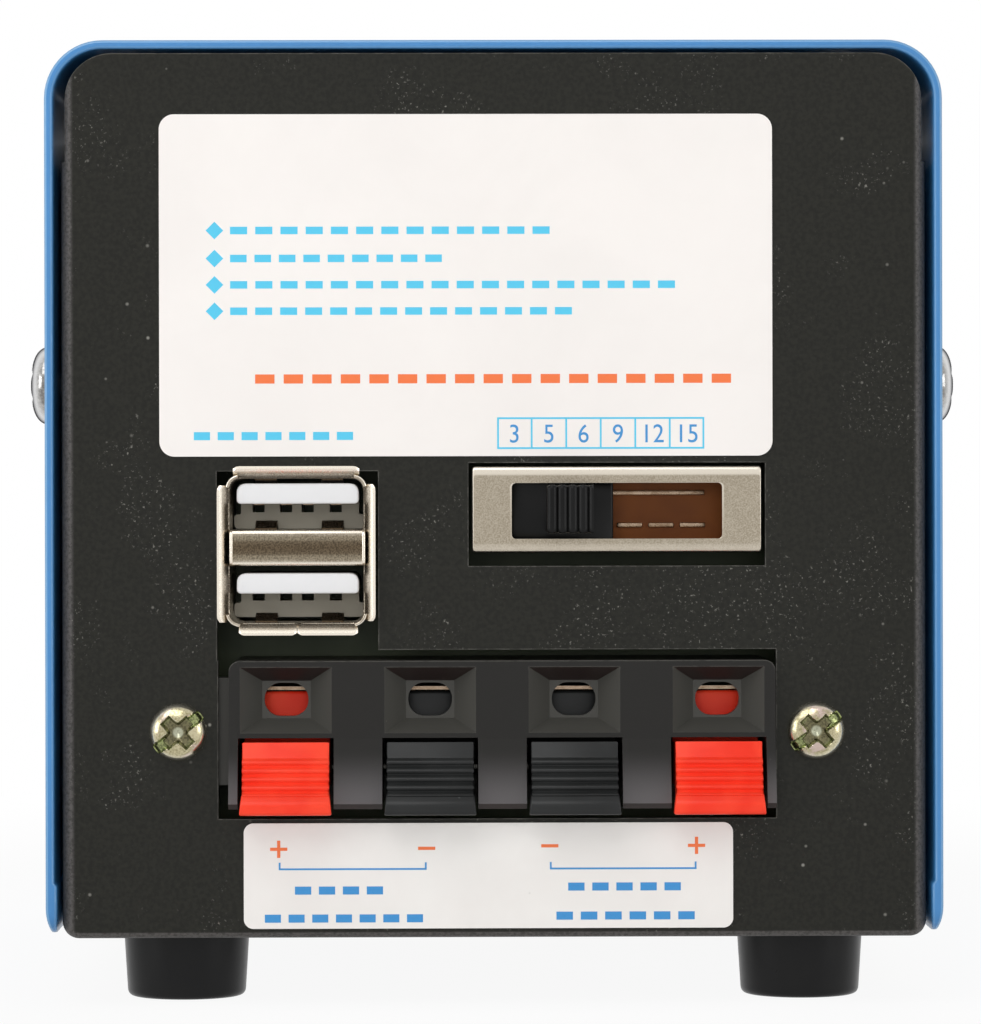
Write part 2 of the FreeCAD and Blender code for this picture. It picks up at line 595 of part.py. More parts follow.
    def loft_cut(self, plane, first_at, first, second_at, second):
        """A cut that tapers from one outline to another."""
        sketches = []
        for at, outline in ((first_at, first), (second_at, second)):
            sketches.append(self.sketch(plane, at))
            self.draw(sketches[-1], outline)
        doc.recompute()
        made = self.body.newObject("PartDesign::SubtractiveLoft", f"{self.label}_loft_{self.count}")
        made.Profile = sketches[0]
        made.Sections = [sketches[1]]
        made.Ruled = True
        before = self.body.Shape.Volume
        doc.recompute()
        if self.body.Shape.Volume > before - 1e-6:
            raise RuntimeError(f"{made.Label} cuts nothing")
        return self

    def around(self, feature, axis, count):
        """Repeats the last feature round one of the body's own axes."""
        made = self.body.newObject("PartDesign::PolarPattern", f"{self.label}_pattern_{self.count}")
        made.Originals = [feature]
        line = [f for f in self.body.Origin.OriginFeatures if f.Role == f"{axis}_Axis"][0]
        made.Axis = (line, [""])
        made.Angle = 360
        made.setExpression("Occurrences", full(count))
        self.body.Tip = made
        doc.recompute()
        return self

    def put(self, x, y, z):
        """Moves the whole body, so that its own origin lands there."""
        for letter, formula in zip("xyz", (x, y, z)):
            self.body.setExpression(f"Placement.Base.{letter}", full(formula))
        doc.recompute()
        return self


def along(axis, **places):
    """Picks straight edges parallel to an axis whose middle has the given coordinates; side is x on either side."""
    direction = FreeCAD.Vector(*(1.0 if axis == letter else 0.0 for letter in "XYZ"))

    def chosen(edge):
        if len(edge.Vertexes) != 2 or not isinstance(edge.Curve, (Part.Line, Part.LineSegment)):
            return False
        if abs(abs(edge.tangentAt(edge.FirstParameter) * direction) - 1) > 1e-6:
            return False
        middle = edge.CenterOfMass
        here = {"x": middle.x, "y": middle.y, "z": middle.z, "side": abs(middle.x)}
        return all(any(abs(here[k] - value(f)) < 0.01 for f in wanted) for k, wanted in places.items())

    return chosen


# Places that many pieces share.
crank_reach = "(arm_gap + arm_thick + grip_gap + grip_long)"
front = f"((knob_proud - case_depth - {crank_reach}) / 2)"
back = f"({front} + case_depth)"
base = "foot_height"
floor_top = f"({base} + chassis_sheet)"
half_chassis = "(chassis_width / 2)"
cover_inside = "(case_width / 2 - cover_sheet)"
chassis_top = f"({base} + case_height - cover_sheet - chassis_top_gap)"
foot_places = [("front_left", "-foot_spread / 2", f"{front} + foot_inset"),
               ("front_right", "foot_spread / 2", f"{front} + foot_inset"),
               ("rear_left", "-foot_spread / 2", f"{back} - foot_inset"),
               ("rear_right", "foot_spread / 2", f"{back} - foot_inset")]
side_depths = [f"{front} + side_screw_in", f"{back} - side_screw_in"]
side_z = f"{base} + side_screw_z"
panel_screw_places = [("ear_x - ear_span / 2", f"{base} + ear_z"), ("ear_x + ear_span / 2", f"{base} + ear_z")]
screw_hole = "small_screw / 2 + screw_play"

# gear centres in the XZ plane
crank_axis = ("0", f"({base} + crank_z)")
small_distance = "(gear_module * (crank_teeth + idler_small_teeth) / 2)"
large_distance = "(gear_module * (idler_large_teeth + motor_teeth) / 2)"
idler_axis = (f"({small_distance} * cos(idler_angle * 1deg))",
              f"({crank_axis[1]} + {small_distance} * sin(idler_angle * 1deg))")
motor_axis = (f"({idler_axis[0]} + {large_distance} * cos(motor_angle * 1deg))",
              f"({idler_axis[1]} + {large_distance} * sin(motor_angle * 1deg))")
pillar_places = [(x, f"{base} + {z}") for x in ("-pillar_left", "pillar_right")
                 for z in ("pillar_low_z", "pillar_high_z")]
rear_plate_back = f"({back} - chassis_sheet)"
rear_plate_front = f"({rear_plate_back} - gear_plate)"
front_plate_back = f"({rear_plate_front} - gear_space)"
front_plate_front = f"({front_plate_back} - gear_plate)"


def behind(depth):
    return f"({front} + {depth})"


def clip_x(number):
    return f"block_x + ({number} - 1.5) * clip_pitch"


# ---- case ----

def chassis():
    """One sheet bent up at the front and back, with flanges along its sides."""
    made = Piece("chassis")
    inner_front = f"{front} + chassis_sheet"
    inner_back = f"{back} - chassis_sheet"
    made.pad("YZ", f"-{half_chassis}", "chassis_width", polygon([
        (front, base), (back, base), (back, chassis_top), (inner_back, chassis_top), (inner_back, floor_top),
        (inner_front, floor_top), (inner_front, chassis_top), (front, chassis_top)]))
    flange_top = f"{base} + flange_top_z"
    side_wall = polygon([
        (front, base), (back, base), (back, flange_top), (f"{back} - flange_depth", flange_top),
        (f"{back} - flange_depth", f"{base} + base_flange"), (f"{front} + flange_depth", f"{base} + base_flange"),
        (f"{front} + flange_depth", flange_top), (front, flange_top)])
    made.pad("YZ", f"-{half_chassis}", "chassis_sheet", side_wall)
    made.pad("YZ", f"{half_chassis} - chassis_sheet", "chassis_sheet", side_wall)
    step = f"{half_chassis} - panel_step"
    made.cut("XZ", front, "case_depth",
             rect(f"-{half_chassis} - cut_over", flange_top, f"-({step})", f"{chassis_top} + cut_over"),
             rect(step, flange_top, f"{half_chassis} + cut_over", f"{chassis_top} + cut_over"))
    made.fillet("panel_corner", along("Y", side=[step], z=[chassis_top]))
    made.fillet("chassis_bend", lambda edge: along("Z", side=[half_chassis], y=[front, back])(edge)
                or along("Y", z=[base], side=[half_chassis])(edge))
    made.fillet("base_bend", along("X", z=[base], y=[front, back]))
    deep = "chassis_sheet + 2 * cut_over"
    # One stepped cut-out holds the USB receptacle and the terminal block, another the switch.
    usb_left = "usb_x - usb_wide / 2 - usb_lip_out"
    usb_right = "usb_x + usb_wide / 2 + usb_lip_out"
    made.cut("XZ", f"{front} - cut_over", deep,
             rect("ear_x - window_wide / 2", f"{base} + window_low_z", "ear_x + window_wide / 2",
                  f"{base} + window_high_z"))
    made.cut("XZ", f"{front} - cut_over", deep,
             rect(usb_left, f"{base} + block_high_z",
                  usb_right, f"{base} + usb_z + usb_high / 2 + usb_lip_out / 2"),
             rect("switch_x - switch_wide / 2 - switch_play",
                  f"{base} + switch_z - switch_high / 2 - switch_cut_low",
                  "switch_x + switch_wide / 2 + switch_play",
                  f"{base} + switch_z + switch_high / 2 + switch_play"),
             *[circle(x, z, screw_hole) for x, z in panel_screw_places])
    made.cut("XZ", f"{back} - chassis_sheet - cut_over", deep,
             circle(*crank_axis, "bush_round / 2 + screw_play"),
             *[circle(x, z, screw_hole) for x, z in pillar_places])
    made.cut("XY", f"{base} - cut_over", deep, *[circle(x, y, screw_hole) for name, x, y in foot_places])
    for side in (f"-{half_chassis} - cut_over", f"{half_chassis} - chassis_sheet - cut_over"):
        made.cut("YZ", side, deep, *[circle(y, side_z, "side_screw / 2 + screw_play") for y in side_depths])


def cover():
    """An inverted U of thin sheet that drops over the chassis."""
    made = Piece("cover")
    low = f"{base} + cover_lift"
    high = f"{base} + case_height"
    start = f"{front} - cover_overhang"
    length = "case_depth + 2 * cover_overhang"
    made.pad("XZ", start, length, rect("-case_width / 2", low, "case_width / 2", high))
    made.fillet("cover_corner", along("Y", side=["case_width / 2"], z=[high]))
    made.cut("XZ", start, length, rounded(f"-{cover_inside}", f"{low} - 2 * cover_corner", cover_inside,
                                          f"{high} - cover_sheet", "cover_corner - cover_sheet"))
    made.fillet("cover_end_corner", along("X", z=[low], y=[start, f"{back} + cover_overhang"]))
    for side in ("-case_width / 2 - cut_over", f"{cover_inside} - cut_over"):
        made.cut("YZ", side, "cover_sheet + 2 * cut_over", *[circle(y, side_z, "side_screw / 2 + screw_play")
                                                  for y in side_depths])


def foot(name, x, y):
    """A tapered rubber foot with a recess for its screw."""
    made = Piece(f"foot_{name}")
    made.turn("Z", (x, y), [
        ("0", "foot_recess / 2"), ("0", "foot_bottom / 2 - foot_edge"),
        ("foot_edge / 4", "foot_bottom / 2 - foot_edge / 4"), ("foot_edge", "foot_bottom / 2"),
        (base, "foot_top / 2"), (base, screw_hole),
        ("foot_recess_depth", screw_hole), ("foot_recess_depth", "foot_recess / 2")])


pan_crown = [(1.0, 0.0), (1.0, 0.28), (0.72, 0.44), (0.3, 0.5)]  # shares of a pan head's height and diameter


def pan_screw(piece, axis, centre, seat, way, head, high, thread, length):
    """A pan head screw: seat is where its head rests, way is +1 or -1 from the head towards the tip."""
    crown = [(f"{seat} - {way} * ({high}) * {up}", f"({head}) * {across}") for up, across in pan_crown]
    piece.turn(axis, centre, crown + [
        (seat, f"({head}) / 2"), (seat, f"({thread}) / 2"),
        (f"{seat} + {way} * ({length} - tip_cone)", f"({thread}) / 2"),
        (f"{seat} + {way} * ({length})", f"({thread}) / 2 - tip_cone"), (f"{seat} + {way} * ({length})", "0")])


def small_screws(label, axis, places, seat, way, length):
    made = Piece(label)
    for centre in places:
        pan_screw(made, axis, centre, seat, way, "small_head", "small_head_high", "small_screw", length)
    return made


def foot_fasteners():
    spots = [(x, y) for name, x, y in foot_places]
    small_screws("foot_screws", "Z", spots, "foot_recess_depth", 1,
                 f"{floor_top} - foot_recess_depth + small_nut_thick + thread_past")
    made = Piece("foot_nuts")
    for x, y in spots:
        made.pad("XY", floor_top, "small_nut_thick", hexagon(x, y, "small_nut_flats"), circle(x, y, screw_hole))


def cover_fasteners():
    screws = Piece("cover_screws")
    nuts = Piece("cover_nuts")
    for y in side_depths:
        for way, side in ((1, "-case_width / 2"), (-1, "case_width / 2")):
            pan_screw(screws, "X", (y, side_z), side, way, "side_head", "side_head_high", "side_screw",
                      "side_screw_long")
            seat = f"-({half_chassis} - chassis_sheet)" if way > 0 else f"{half_chassis} - chassis_sheet"
            nuts.turn("X", (y, side_z), [
                (seat, "side_screw / 2 + screw_play"), (seat, "side_nut_round / 2"),
                (f"{seat} + {way} * side_nut_thick", "side_nut_round / 2 - tip_cone"),
                (f"{seat} + {way} * side_nut_thick", "side_screw / 2 + screw_play")])


def labels():
    for label, x, wide, low, high, corner in (
            ("label_upper", "label_x", "label_wide", "label_low_z", "label_high_z", "label_corner"),
            ("label_lower", "strip_x", "strip_wide", "strip_low_z", "strip_high_z", "strip_corner")):
        Piece(label).pad("XZ", f"{front} - label_thick", "label_thick",
                         rounded(f"{x} - {wide} / 2", f"{base} + {low}", f"{x} + {wide} / 2", f"{base} + {high}",
                                 corner))


# ---- terminal block ----

clip_numbers = range(4)
block_left = "(block_x - block_wide / 2)"
block_right = "(block_x + block_wide / 2)"
block_rear = behind("board_in")


def terminal_body():
    """Four wire funnels over four lever slots; behind both, one chamber for each terminal, open to the board."""
    made = Piece("terminal_body")
    high = f"{base} + block_high_z"
    low = f"{base} + block_low_z"
    face = f"({front} - block_proud)"
    made.pad("YZ", block_left, "block_wide", polygon([
        (face, high), (face, f"{base} + block_bend_z"), (f"{front} - block_ramp", f"{low} + block_toe"),
        (f"{front} - block_ramp + block_toe", low), (block_rear, low), (block_rear, high)]))
    made.fillet("block_corner", along("Y", z=[high], x=[block_left, block_right]))
    made.pad("XZ", f"{front} + chassis_sheet", "ear_thick",
             rect("ear_x - ear_span / 2 - ear_beyond", f"{base} + ear_z - ear_high / 2",
                  "ear_x + ear_span / 2 + ear_beyond", f"{base} + ear_z + ear_high / 2"))
    made.cut("XZ", front, "chassis_sheet + ear_thick + cut_over",
             *[circle(x, z, screw_hole) for x, z in panel_screw_places])
    hole_z = f"({base} + (funnel_low_z + funnel_high_z) / 2)"
    throat = f"({face} + funnel_deep)"
    slots = [(f"{clip_x(k)} - slot_wide / 2", f"{clip_x(k)} + slot_wide / 2") for k in clip_numbers]
    chamber = behind("chamber_in")
    made.cut("XZ", chamber, f"{block_rear} - {chamber}",
             *[rect(x0, f"{base} + slot_top_z - block_toe", x1, f"{base} + chamber_top_z") for x0, x1 in slots])
    made.cut("XZ", f"{front} - block_ramp - cut_over", "block_ramp + cut_over + slot_deep",
             *[rect(x0, f"{low} - cut_over", x1, f"{base} + slot_top_z") for x0, x1 in slots])
    for number in clip_numbers:
        x = f"({clip_x(number)})"
        made.loft_cut("XZ", face, box_at(x, hole_z, "funnel_wide", "funnel_high_z - funnel_low_z"),
                      throat, box_at(x, hole_z, "wire_hole_wide + throat_edge", "wire_hole_high + throat_edge"))
        made.cut("XZ", throat, f"{chamber} - {throat}", rounded(
            f"{x} - wire_hole_wide / 2", f"{hole_z} - wire_hole_high / 2",
            f"{x} + wire_hole_wide / 2", f"{hole_z} + wire_hole_high / 2", "wire_hole_corner"))
    made.cut("YZ", f"{block_left} + pin_end", "block_wide - 2 * pin_end",
             circle(behind("lever_pin_in"), f"{base} + lever_pin_z", "lever_pin / 2 + fixed_play"))


# One rib down a lever's front: share of the rib's pitch, and whether the point is on top of the rib.
rib_profile = [(0.15, 0), (0.3, 1), (0.75, 1), (0.9, 0)]


def lever_points():
    """The lever's side view, as distance in front of the panel and height above the base.

    Its ribbed front slopes down to the lip. Behind the wire hole stands a plate, and behind the pin a heel.
    """
    points = [("lever_top_reach", "lever_top_z")]
    rows = int(value("rib_count"))
    for row in range(rows):
        for share, proud in rib_profile:
            down = (row + share) / rows
            points.append((f"lever_top_reach + (lever_reach - lip_deep - lever_top_reach) * {down:.4f}"
                           f" + rib_high * {proud}",
                           f"lever_top_z - (lever_top_z - lip_top_z - rib_high / 2) * {down:.4f}"))
    return points + lip_points() + [
        ("lever_reach / 2", "(lip_low_z + lever_under_z) / 2"), ("-slot_top_play", "lever_under_z"),
        ("-lever_pin_in + 2 * boss_half", "lever_under_z"), ("-lever_pin_in", "lever_pin_z - boss_half"),
        ("-heel_in", "heel_low_z"), ("-heel_in", "heel_high_z"),
        ("-lever_pin_in - boss_half / 3", "lever_pin_z + boss_half"),
        ("-gate_in - gate_thick", "lever_top_z - slot_top_play"), ("-gate_in - gate_thick", "gate_top_z"),
        ("-gate_in", "gate_top_z"), ("-gate_in", "lever_top_z")]


def lip_points():
    return [("lever_reach - lip_deep", "lip_top_z"), ("lever_reach - lip_round", "lip_top_z"),
            ("lever_reach", "lip_top_z - lip_round"), ("lever_reach", "lip_low_z + lip_round"),
            ("lever_reach - lip_round", "lip_low_z"), ("lever_reach - lip_deep", "lip_low_z")]


def terminal_lever(number):
    """A see-saw on the block's pin: pressing its lip lifts the heel against the spring and lowers the plate."""
    made = Piece(f"terminal_lever_{number + 1}")
    x = f"({clip_x(number)})"
    for wide, outline in (("lever_wide", lever_points()), ("lip_wide", lip_points())):
        made.pad("YZ", f"{x} - {wide} / 2", wide,
                 polygon([(f"{front} - ({reach})", f"{base} + {height}") for reach, height in outline]))
    made.cut("YZ", f"{x} - lever_wide / 2 - cut_over", "lever_wide + 2 * cut_over",
             circle(behind("lever_pin_in"), f"{base} + lever_pin_z", "lever_pin / 2 + pin_play"))


def terminal_metal():
    """The levers' steel pin, and in each chamber a contact with its tail and a leaf spring over the heel."""
    Piece("lever_pin").pad("YZ", f"{block_left} + pin_end", "block_wide - 2 * pin_end",
                           circle(behind("lever_pin_in"), f"{base} + lever_pin_z", "lever_pin / 2"))
    contacts = Piece("terminal_contacts")
    springs = Piece("terminal_springs")
    contact_rear = f"({block_rear} - rear_gap)"
    contact_low = f"({base} + clip_z)"
    sill = f"({base} + slot_top_z - block_toe)"
    wall = behind("slot_deep")
    for number in clip_numbers:
        x0 = f"{clip_x(number)} - clip_metal_wide / 2"
        contacts.pad("YZ", x0, "clip_metal_wide", polygon([
            (behind("clip_in"), contact_low), (f"{contact_rear} - clip_metal", contact_low),
            (f"{contact_rear} - clip_metal", f"{base} + clip_leg_z"), (contact_rear, f"{base} + clip_leg_z"),
            (contact_rear, f"{contact_low} + clip_metal"), (behind("clip_in"), f"{contact_low} + clip_metal")]))
        contacts.pad("XZ", f"{contact_rear} - clip_metal", "clip_metal + rear_gap + board_thick + tail_past",
                     box_at(clip_x(number), f"{base} + clip_tail_z", "clip_tail", "clip_tail"))
        tip = f"({base} + heel_high_z + spring_gap)"
        springs.pad("YZ", x0, "clip_metal_wide", polygon([
            (f"{wall} + spring_foot", sill), (f"{wall} + spring_foot", f"{sill} + spring_metal"),
            (f"{wall} - spring_foot", f"{sill} + spring_metal"), (behind("heel_in"), f"{tip} + spring_metal"),
            (behind("heel_in"), tip), (f"{wall} - spring_foot + spring_metal", sill)]))


# ---- USB receptacle ----

usb_mouth = f"({front} - usb_proud)"
usb_middle = f"({base} + usb_z)"
port_high = "((usb_high - usb_divider) / 2 - usb_metal)"
port_wide = "(usb_wide - 2 * usb_metal)"
usb_block_front = f"({usb_mouth} + tongue_back + tongue_long)"


def usb_shell():
    """A folded shell round two ports, its mouth flared by five lips, the lower two on each side of the seam."""
    made = Piece("usb_shell")
    board_front = behind("board_in")
    made.pad("XZ", usb_mouth, f"{board_front} - {usb_mouth}",
             rounded("usb_x - usb_wide / 2", f"{usb_middle} - usb_high / 2",
                     "usb_x + usb_wide / 2", f"{usb_middle} + usb_high / 2", "usb_corner"))
    for side in (1, -1):
        centre = f"{usb_middle} + {side} * (usb_divider / 2 + {port_high} / 2)"
        made.cut("XZ", usb_mouth, f"{board_front} - {usb_mouth}",
                 rounded(f"usb_x - {port_wide} / 2", f"{centre} - {port_high} / 2",
                         f"usb_x + {port_wide} / 2", f"{centre} + {port_high} / 2", "usb_corner - usb_metal"))
    for side in (1, -1):
        upright = usb_lip(f"({usb_middle} + {side} * usb_high / 2)", side)
        if side > 0:
            made.pad("YZ", "usb_x - usb_end_lip / 2", "usb_end_lip", polygon(upright))
        else:
            for start in ("usb_x - usb_end_lip / 2", "usb_x + usb_seam / 2"):
                made.pad("YZ", start, "(usb_end_lip - usb_seam) / 2", polygon(upright))
        level = usb_lip(f"(usb_x + {side} * usb_wide / 2)", side)
        made.pad("XY", f"{usb_middle} - usb_side_lip / 2", "usb_side_lip",
                 polygon([(across, depth) for depth, across in level]))


def usb_lip(face, side):
    """The shell's sheet bent outwards at the mouth, as depth and place across."""
    inside = f"{face} - {side} * usb_lip_in"
    return [(usb_mouth, f"{face} + {side} * usb_lip_out"),
            (f"{usb_mouth} - usb_lip_in", f"{face} + {side} * (usb_lip_out - usb_lip_edge)"),
            (f"{usb_mouth} + usb_lip_deep * 0.4", inside), (f"{usb_mouth} + usb_lip_deep", inside),
            (f"{usb_mouth} + usb_lip_deep * 0.45", f"{face} + {side} * usb_lip_out * 0.4")]


def usb_inside():
    """In each port a stepped block at the back, and from it a tongue with four contacts on its underside."""
    insulator = Piece("usb_insulator")
    contacts = Piece("usb_contacts")
    board_front = behind("board_in")
    for side in (1, -1):
        centre = f"({usb_middle} + {side} * (usb_divider / 2 + {port_high} / 2))"
        roof = f"({centre} + {port_high} / 2)"
        tongue_low = f"({roof} - tongue_roof - tongue_thick)"
        step = f"({tongue_low} - port_step)"
        insulator.pad("XZ", usb_block_front, f"{board_front} - {usb_block_front}",
                      rounded(f"usb_x - {port_wide} / 2 + screw_play", f"{roof} - {port_high} + screw_play",
                              f"usb_x + {port_wide} / 2 - screw_play", step, "usb_corner - usb_metal - screw_play"))
        insulator.pad("XZ", usb_block_front, f"{board_front} - {usb_block_front}",
                      rect("usb_x - tongue_wide / 2", f"{step} - usb_corner",
                           "usb_x + tongue_wide / 2", f"{roof} - screw_play"))
        places = [f"usb_x + {x}" for x in ("-contact_outer / 2", "-contact_inner / 2", "contact_inner / 2",
                                           "contact_outer / 2")]
        insulator.cut("XZ", usb_block_front, "pocket_deep", *[
            rect(f"{x} - pocket_wide / 2", f"{tongue_low} - pocket_high", f"{x} + pocket_wide / 2", tongue_low)
            for x in places])
        tongue_front = f"({usb_mouth} + tongue_back)"
        insulator.pad("XZ", tongue_front, "tongue_long + cut_over",
                      rect("usb_x - tongue_wide / 2", tongue_low,
                           "usb_x + tongue_wide / 2", f"{tongue_low} + tongue_thick"))
        for x in places:
            contacts.pad("XZ", f"{tongue_front} + contact_back", "tongue_long + pocket_deep - contact_back",
                         box_at(x, f"{tongue_low} - contact_thick / 2", "contact_wide", "contact_thick"))


# ---- slide switch ----

switch_middle = f"({base} + switch_z)"
switch_face = f"({front} - switch_proud)"
switch_back = f"({switch_face} + switch_deep)"
contact_board_front = f"({switch_back} - switch_board_thick)"
slider_front = f"({switch_face} + switch_metal + slider_play)"
slider_x = "(switch_x + (switch_position - (switch_positions + 1) / 2) * switch_pitch)"


def switch_frame():
    """A channel of thin steel with a window along its face."""
    made = Piece("switch_frame")
    outer = box_at("switch_x", switch_middle, "switch_wide", "switch_high")
    made.pad("XZ", switch_face, "switch_deep", outer)
    made.fillet("switch_corner", along("X", y=[switch_face], z=[f"{switch_middle} - switch_high / 2",
                                                              f"{switch_middle} + switch_high / 2"]))
    made.cut("XZ", f"{switch_face} + switch_metal", "switch_deep",
             box_at("switch_x", switch_middle, "switch_wide + 2 * cut_over", "switch_high - 2 * switch_metal"))
    made.cut("XZ", f"{switch_face} - cut_over", "switch_metal + 2 * cut_over",
             rounded("switch_x - switch_slot_wide / 2", f"{switch_middle} - switch_slot_high / 2",
                     "switch_x + switch_slot_wide / 2", f"{switch_middle} + switch_slot_high / 2",
                     "switch_slot_corner"))


switch_places = [f"switch_x + ({k} - (switch_positions - 1) / 2) * switch_pitch"
                 for k in range(int(value("switch_positions")))]
strip_rows = [f"({switch_middle} + upper_strip)", f"({switch_middle} - lower_strip)"]


def switch_inside():
    """The brown contact board closes the frame; six lower strips and one long upper strip lie on it."""
    inner_high = "(switch_high - 2 * switch_metal)"
    Piece("switch_board").pad("XZ", contact_board_front, "switch_board_thick",
                              box_at("switch_x", switch_middle, "switch_wide - 2 * switch_board_play",
                                     inner_high))
    strips = Piece("switch_contacts")
    strips.pad("XZ", f"{contact_board_front} - strip_metal", "strip_metal",
               box_at("switch_x", strip_rows[0], "switch_pitch * switch_positions", "strip_tall"),
               *[box_at(x, strip_rows[1], "switch_pitch - strip_gap", "strip_tall") for x in switch_places])
    strips.pad("XZ", switch_back, f"{behind('board_in')} - {switch_back} + board_thick + tail_past",
               *[box_at(x, z, "switch_tail_wide", "switch_tail_thick")
                 for x in switch_places for z in strip_rows])


def switch_slider():
    """A flat base behind the window, and a knob with upright grooves through it."""
    made = Piece("switch_slider")
    made.pad("XZ", slider_front, "slider_thick", box_at(slider_x, switch_middle, "slider_wide", "slider_high"))
    made.pad("XZ", f"{front} - knob_proud", f"{slider_front} - {front} + knob_proud",
             box_at(slider_x, switch_middle, "knob_wide", "knob_high"))
    made.chamfer("knob_edge", along("X", y=[f"{front} - knob_proud"], z=[f"{switch_middle} - knob_high / 2",
                                                                       f"{switch_middle} + knob_high / 2"]))
    grooves = [f"{slider_x} + ({k} - (knob_ribs - 1) / 2) * knob_rib_pitch"
               for k in range(int(value("knob_ribs")))]
    made.cut("XZ", f"{front} - knob_proud - cut_over", "knob_rib_deep + cut_over",
             *[box_at(x, switch_middle, "knob_rib_pitch * 0.45", "knob_high + cut_over") for x in grooves])


# ---- circuit board ----

def circuit_board():
    """Stands behind the panel; the block's contacts and the switch's tails pass through it."""
    made = Piece("circuit_board")
    made.pad("XZ", behind("board_in"), "board_thick",
             rect("-board_wide / 2", f"{base} + board_low_z", "board_wide / 2", f"{base} + board_high_z"))
    made.cut("XZ", behind("board_in - cut_over"), "board_thick + 2 * cut_over",
             *[circle(x, z, screw_hole) for x, z in panel_screw_places],
             *[box_at(clip_x(k), f"{base} + clip_tail_z",
                      "clip_tail + 2 * board_play", "clip_tail + 2 * board_play") for k in clip_numbers],
             *[box_at(x, z, "switch_tail_wide + 2 * board_play", "switch_tail_thick + 2 * board_play")
               for x in switch_places for z in strip_rows])


def board_fasteners():
    small_screws("panel_screws", "Y", panel_screw_places, front, 1,
                 "chassis_sheet + ear_thick + panel_screw_past")
    spacers = Piece("board_spacers")
    start = behind("chassis_sheet + ear_thick")
    for x, z in panel_screw_places:
        spacers.pad("XZ", start, f"{behind('board_in')} - {start}",
                    hexagon(x, z, "small_nut_flats"), circle(x, z, screw_hole))
    small_screws("board_screws", "Y", panel_screw_places, behind("board_in + board_thick"), -1,
                 "board_thick + board_screw_past")


def board_parts():
    """Two reservoir capacitors, a toroidal choke, a bridge rectifier and a regulator bolted to its heat sink."""
    rear = behind("board_in + board_thick")
    capacitors = Piece("capacitors")
    can = "capacitor_round / 2"
    bead = "4 * capacitor_bead"
    for sign in "-+":
        capacitors.turn("Y", (f"capacitor_x {sign} capacitor_pitch / 2", f"{base} + capacitor_z"), [
            (rear, "0"), (rear, f"{can} - capacitor_bead"), (f"{rear} + {bead}", can),
            (f"{rear} + 2 * {bead}", f"{can} - capacitor_bead"), (f"{rear} + 3 * {bead}", can),
            (f"{rear} + capacitor_long - capacitor_bead", can),
            (f"{rear} + capacitor_long", f"{can} - capacitor_bead"), (f"{rear} + capacitor_long", "0")])
    choke = Piece("choke")
    choke.turn("Y", ("choke_x", f"{base} + choke_z"), [
        (rear, "choke_bore / 2 + choke_edge"), (rear, "choke_round / 2 - choke_edge"),
        (f"{rear} + choke_edge", "choke_round / 2"), (f"{rear} + choke_thick - choke_edge", "choke_round / 2"),
        (f"{rear} + choke_thick", "choke_round / 2 - choke_edge"),
        (f"{rear} + choke_thick", "choke_bore / 2 + choke_edge"),
        (f"{rear} + choke_thick - choke_edge", "choke_bore / 2"), (f"{rear} + choke_edge", "choke_bore / 2")])
    Piece("bridge_rectifier").pad("XZ", rear, "bridge_thick",
                                  box_at("bridge_x", f"{base} + bridge_z", "bridge_wide", "bridge_high"))
    sink_low = f"({base} + sink_z)"
    sink_left = "(sink_x - sink_wide / 2)"
    fin_top = f"{sink_low} + sink_floor + fin_high"
    sink = Piece("heat_sink")
    sink.pad("XZ", rear, "sink_long",
             rect(sink_left, sink_low, f"{sink_left} + sink_wide", f"{sink_low} + sink_floor"))
    for k in range(int(value("fin_count"))):
        fin = f"({sink_left} + {k} * (sink_wide - fin_thick) / (fin_count - 1))"
        sink.pad("XZ", rear, "sink_long",
                 rect(fin, f"{sink_low} + sink_floor / 2", f"{fin} + fin_thick", fin_top))
    regulator = Piece("regulator")
    tab_low = f"({sink_low} - regulator_tab)"
    for high, low, length in ((sink_low, tab_low, "regulator_tab_long"),
                              (tab_low, f"({tab_low} - regulator_body)", "regulator_body_long")):
        regulator.pad("XZ", f"{rear} + regulator_lead", length,
                      rect("sink_x - regulator_wide / 2", low, "sink_x + regulator_wide / 2", high))
    regulator.pad("XZ", rear, "regulator_lead", *[
        box_at(f"sink_x + {way} * regulator_lead_pitch", f"{tab_low} - regulator_body / 2",
               "regulator_lead_wide", "regulator_lead_thick") for way in (-1, 0, 1)])


# ---- gearbox ----

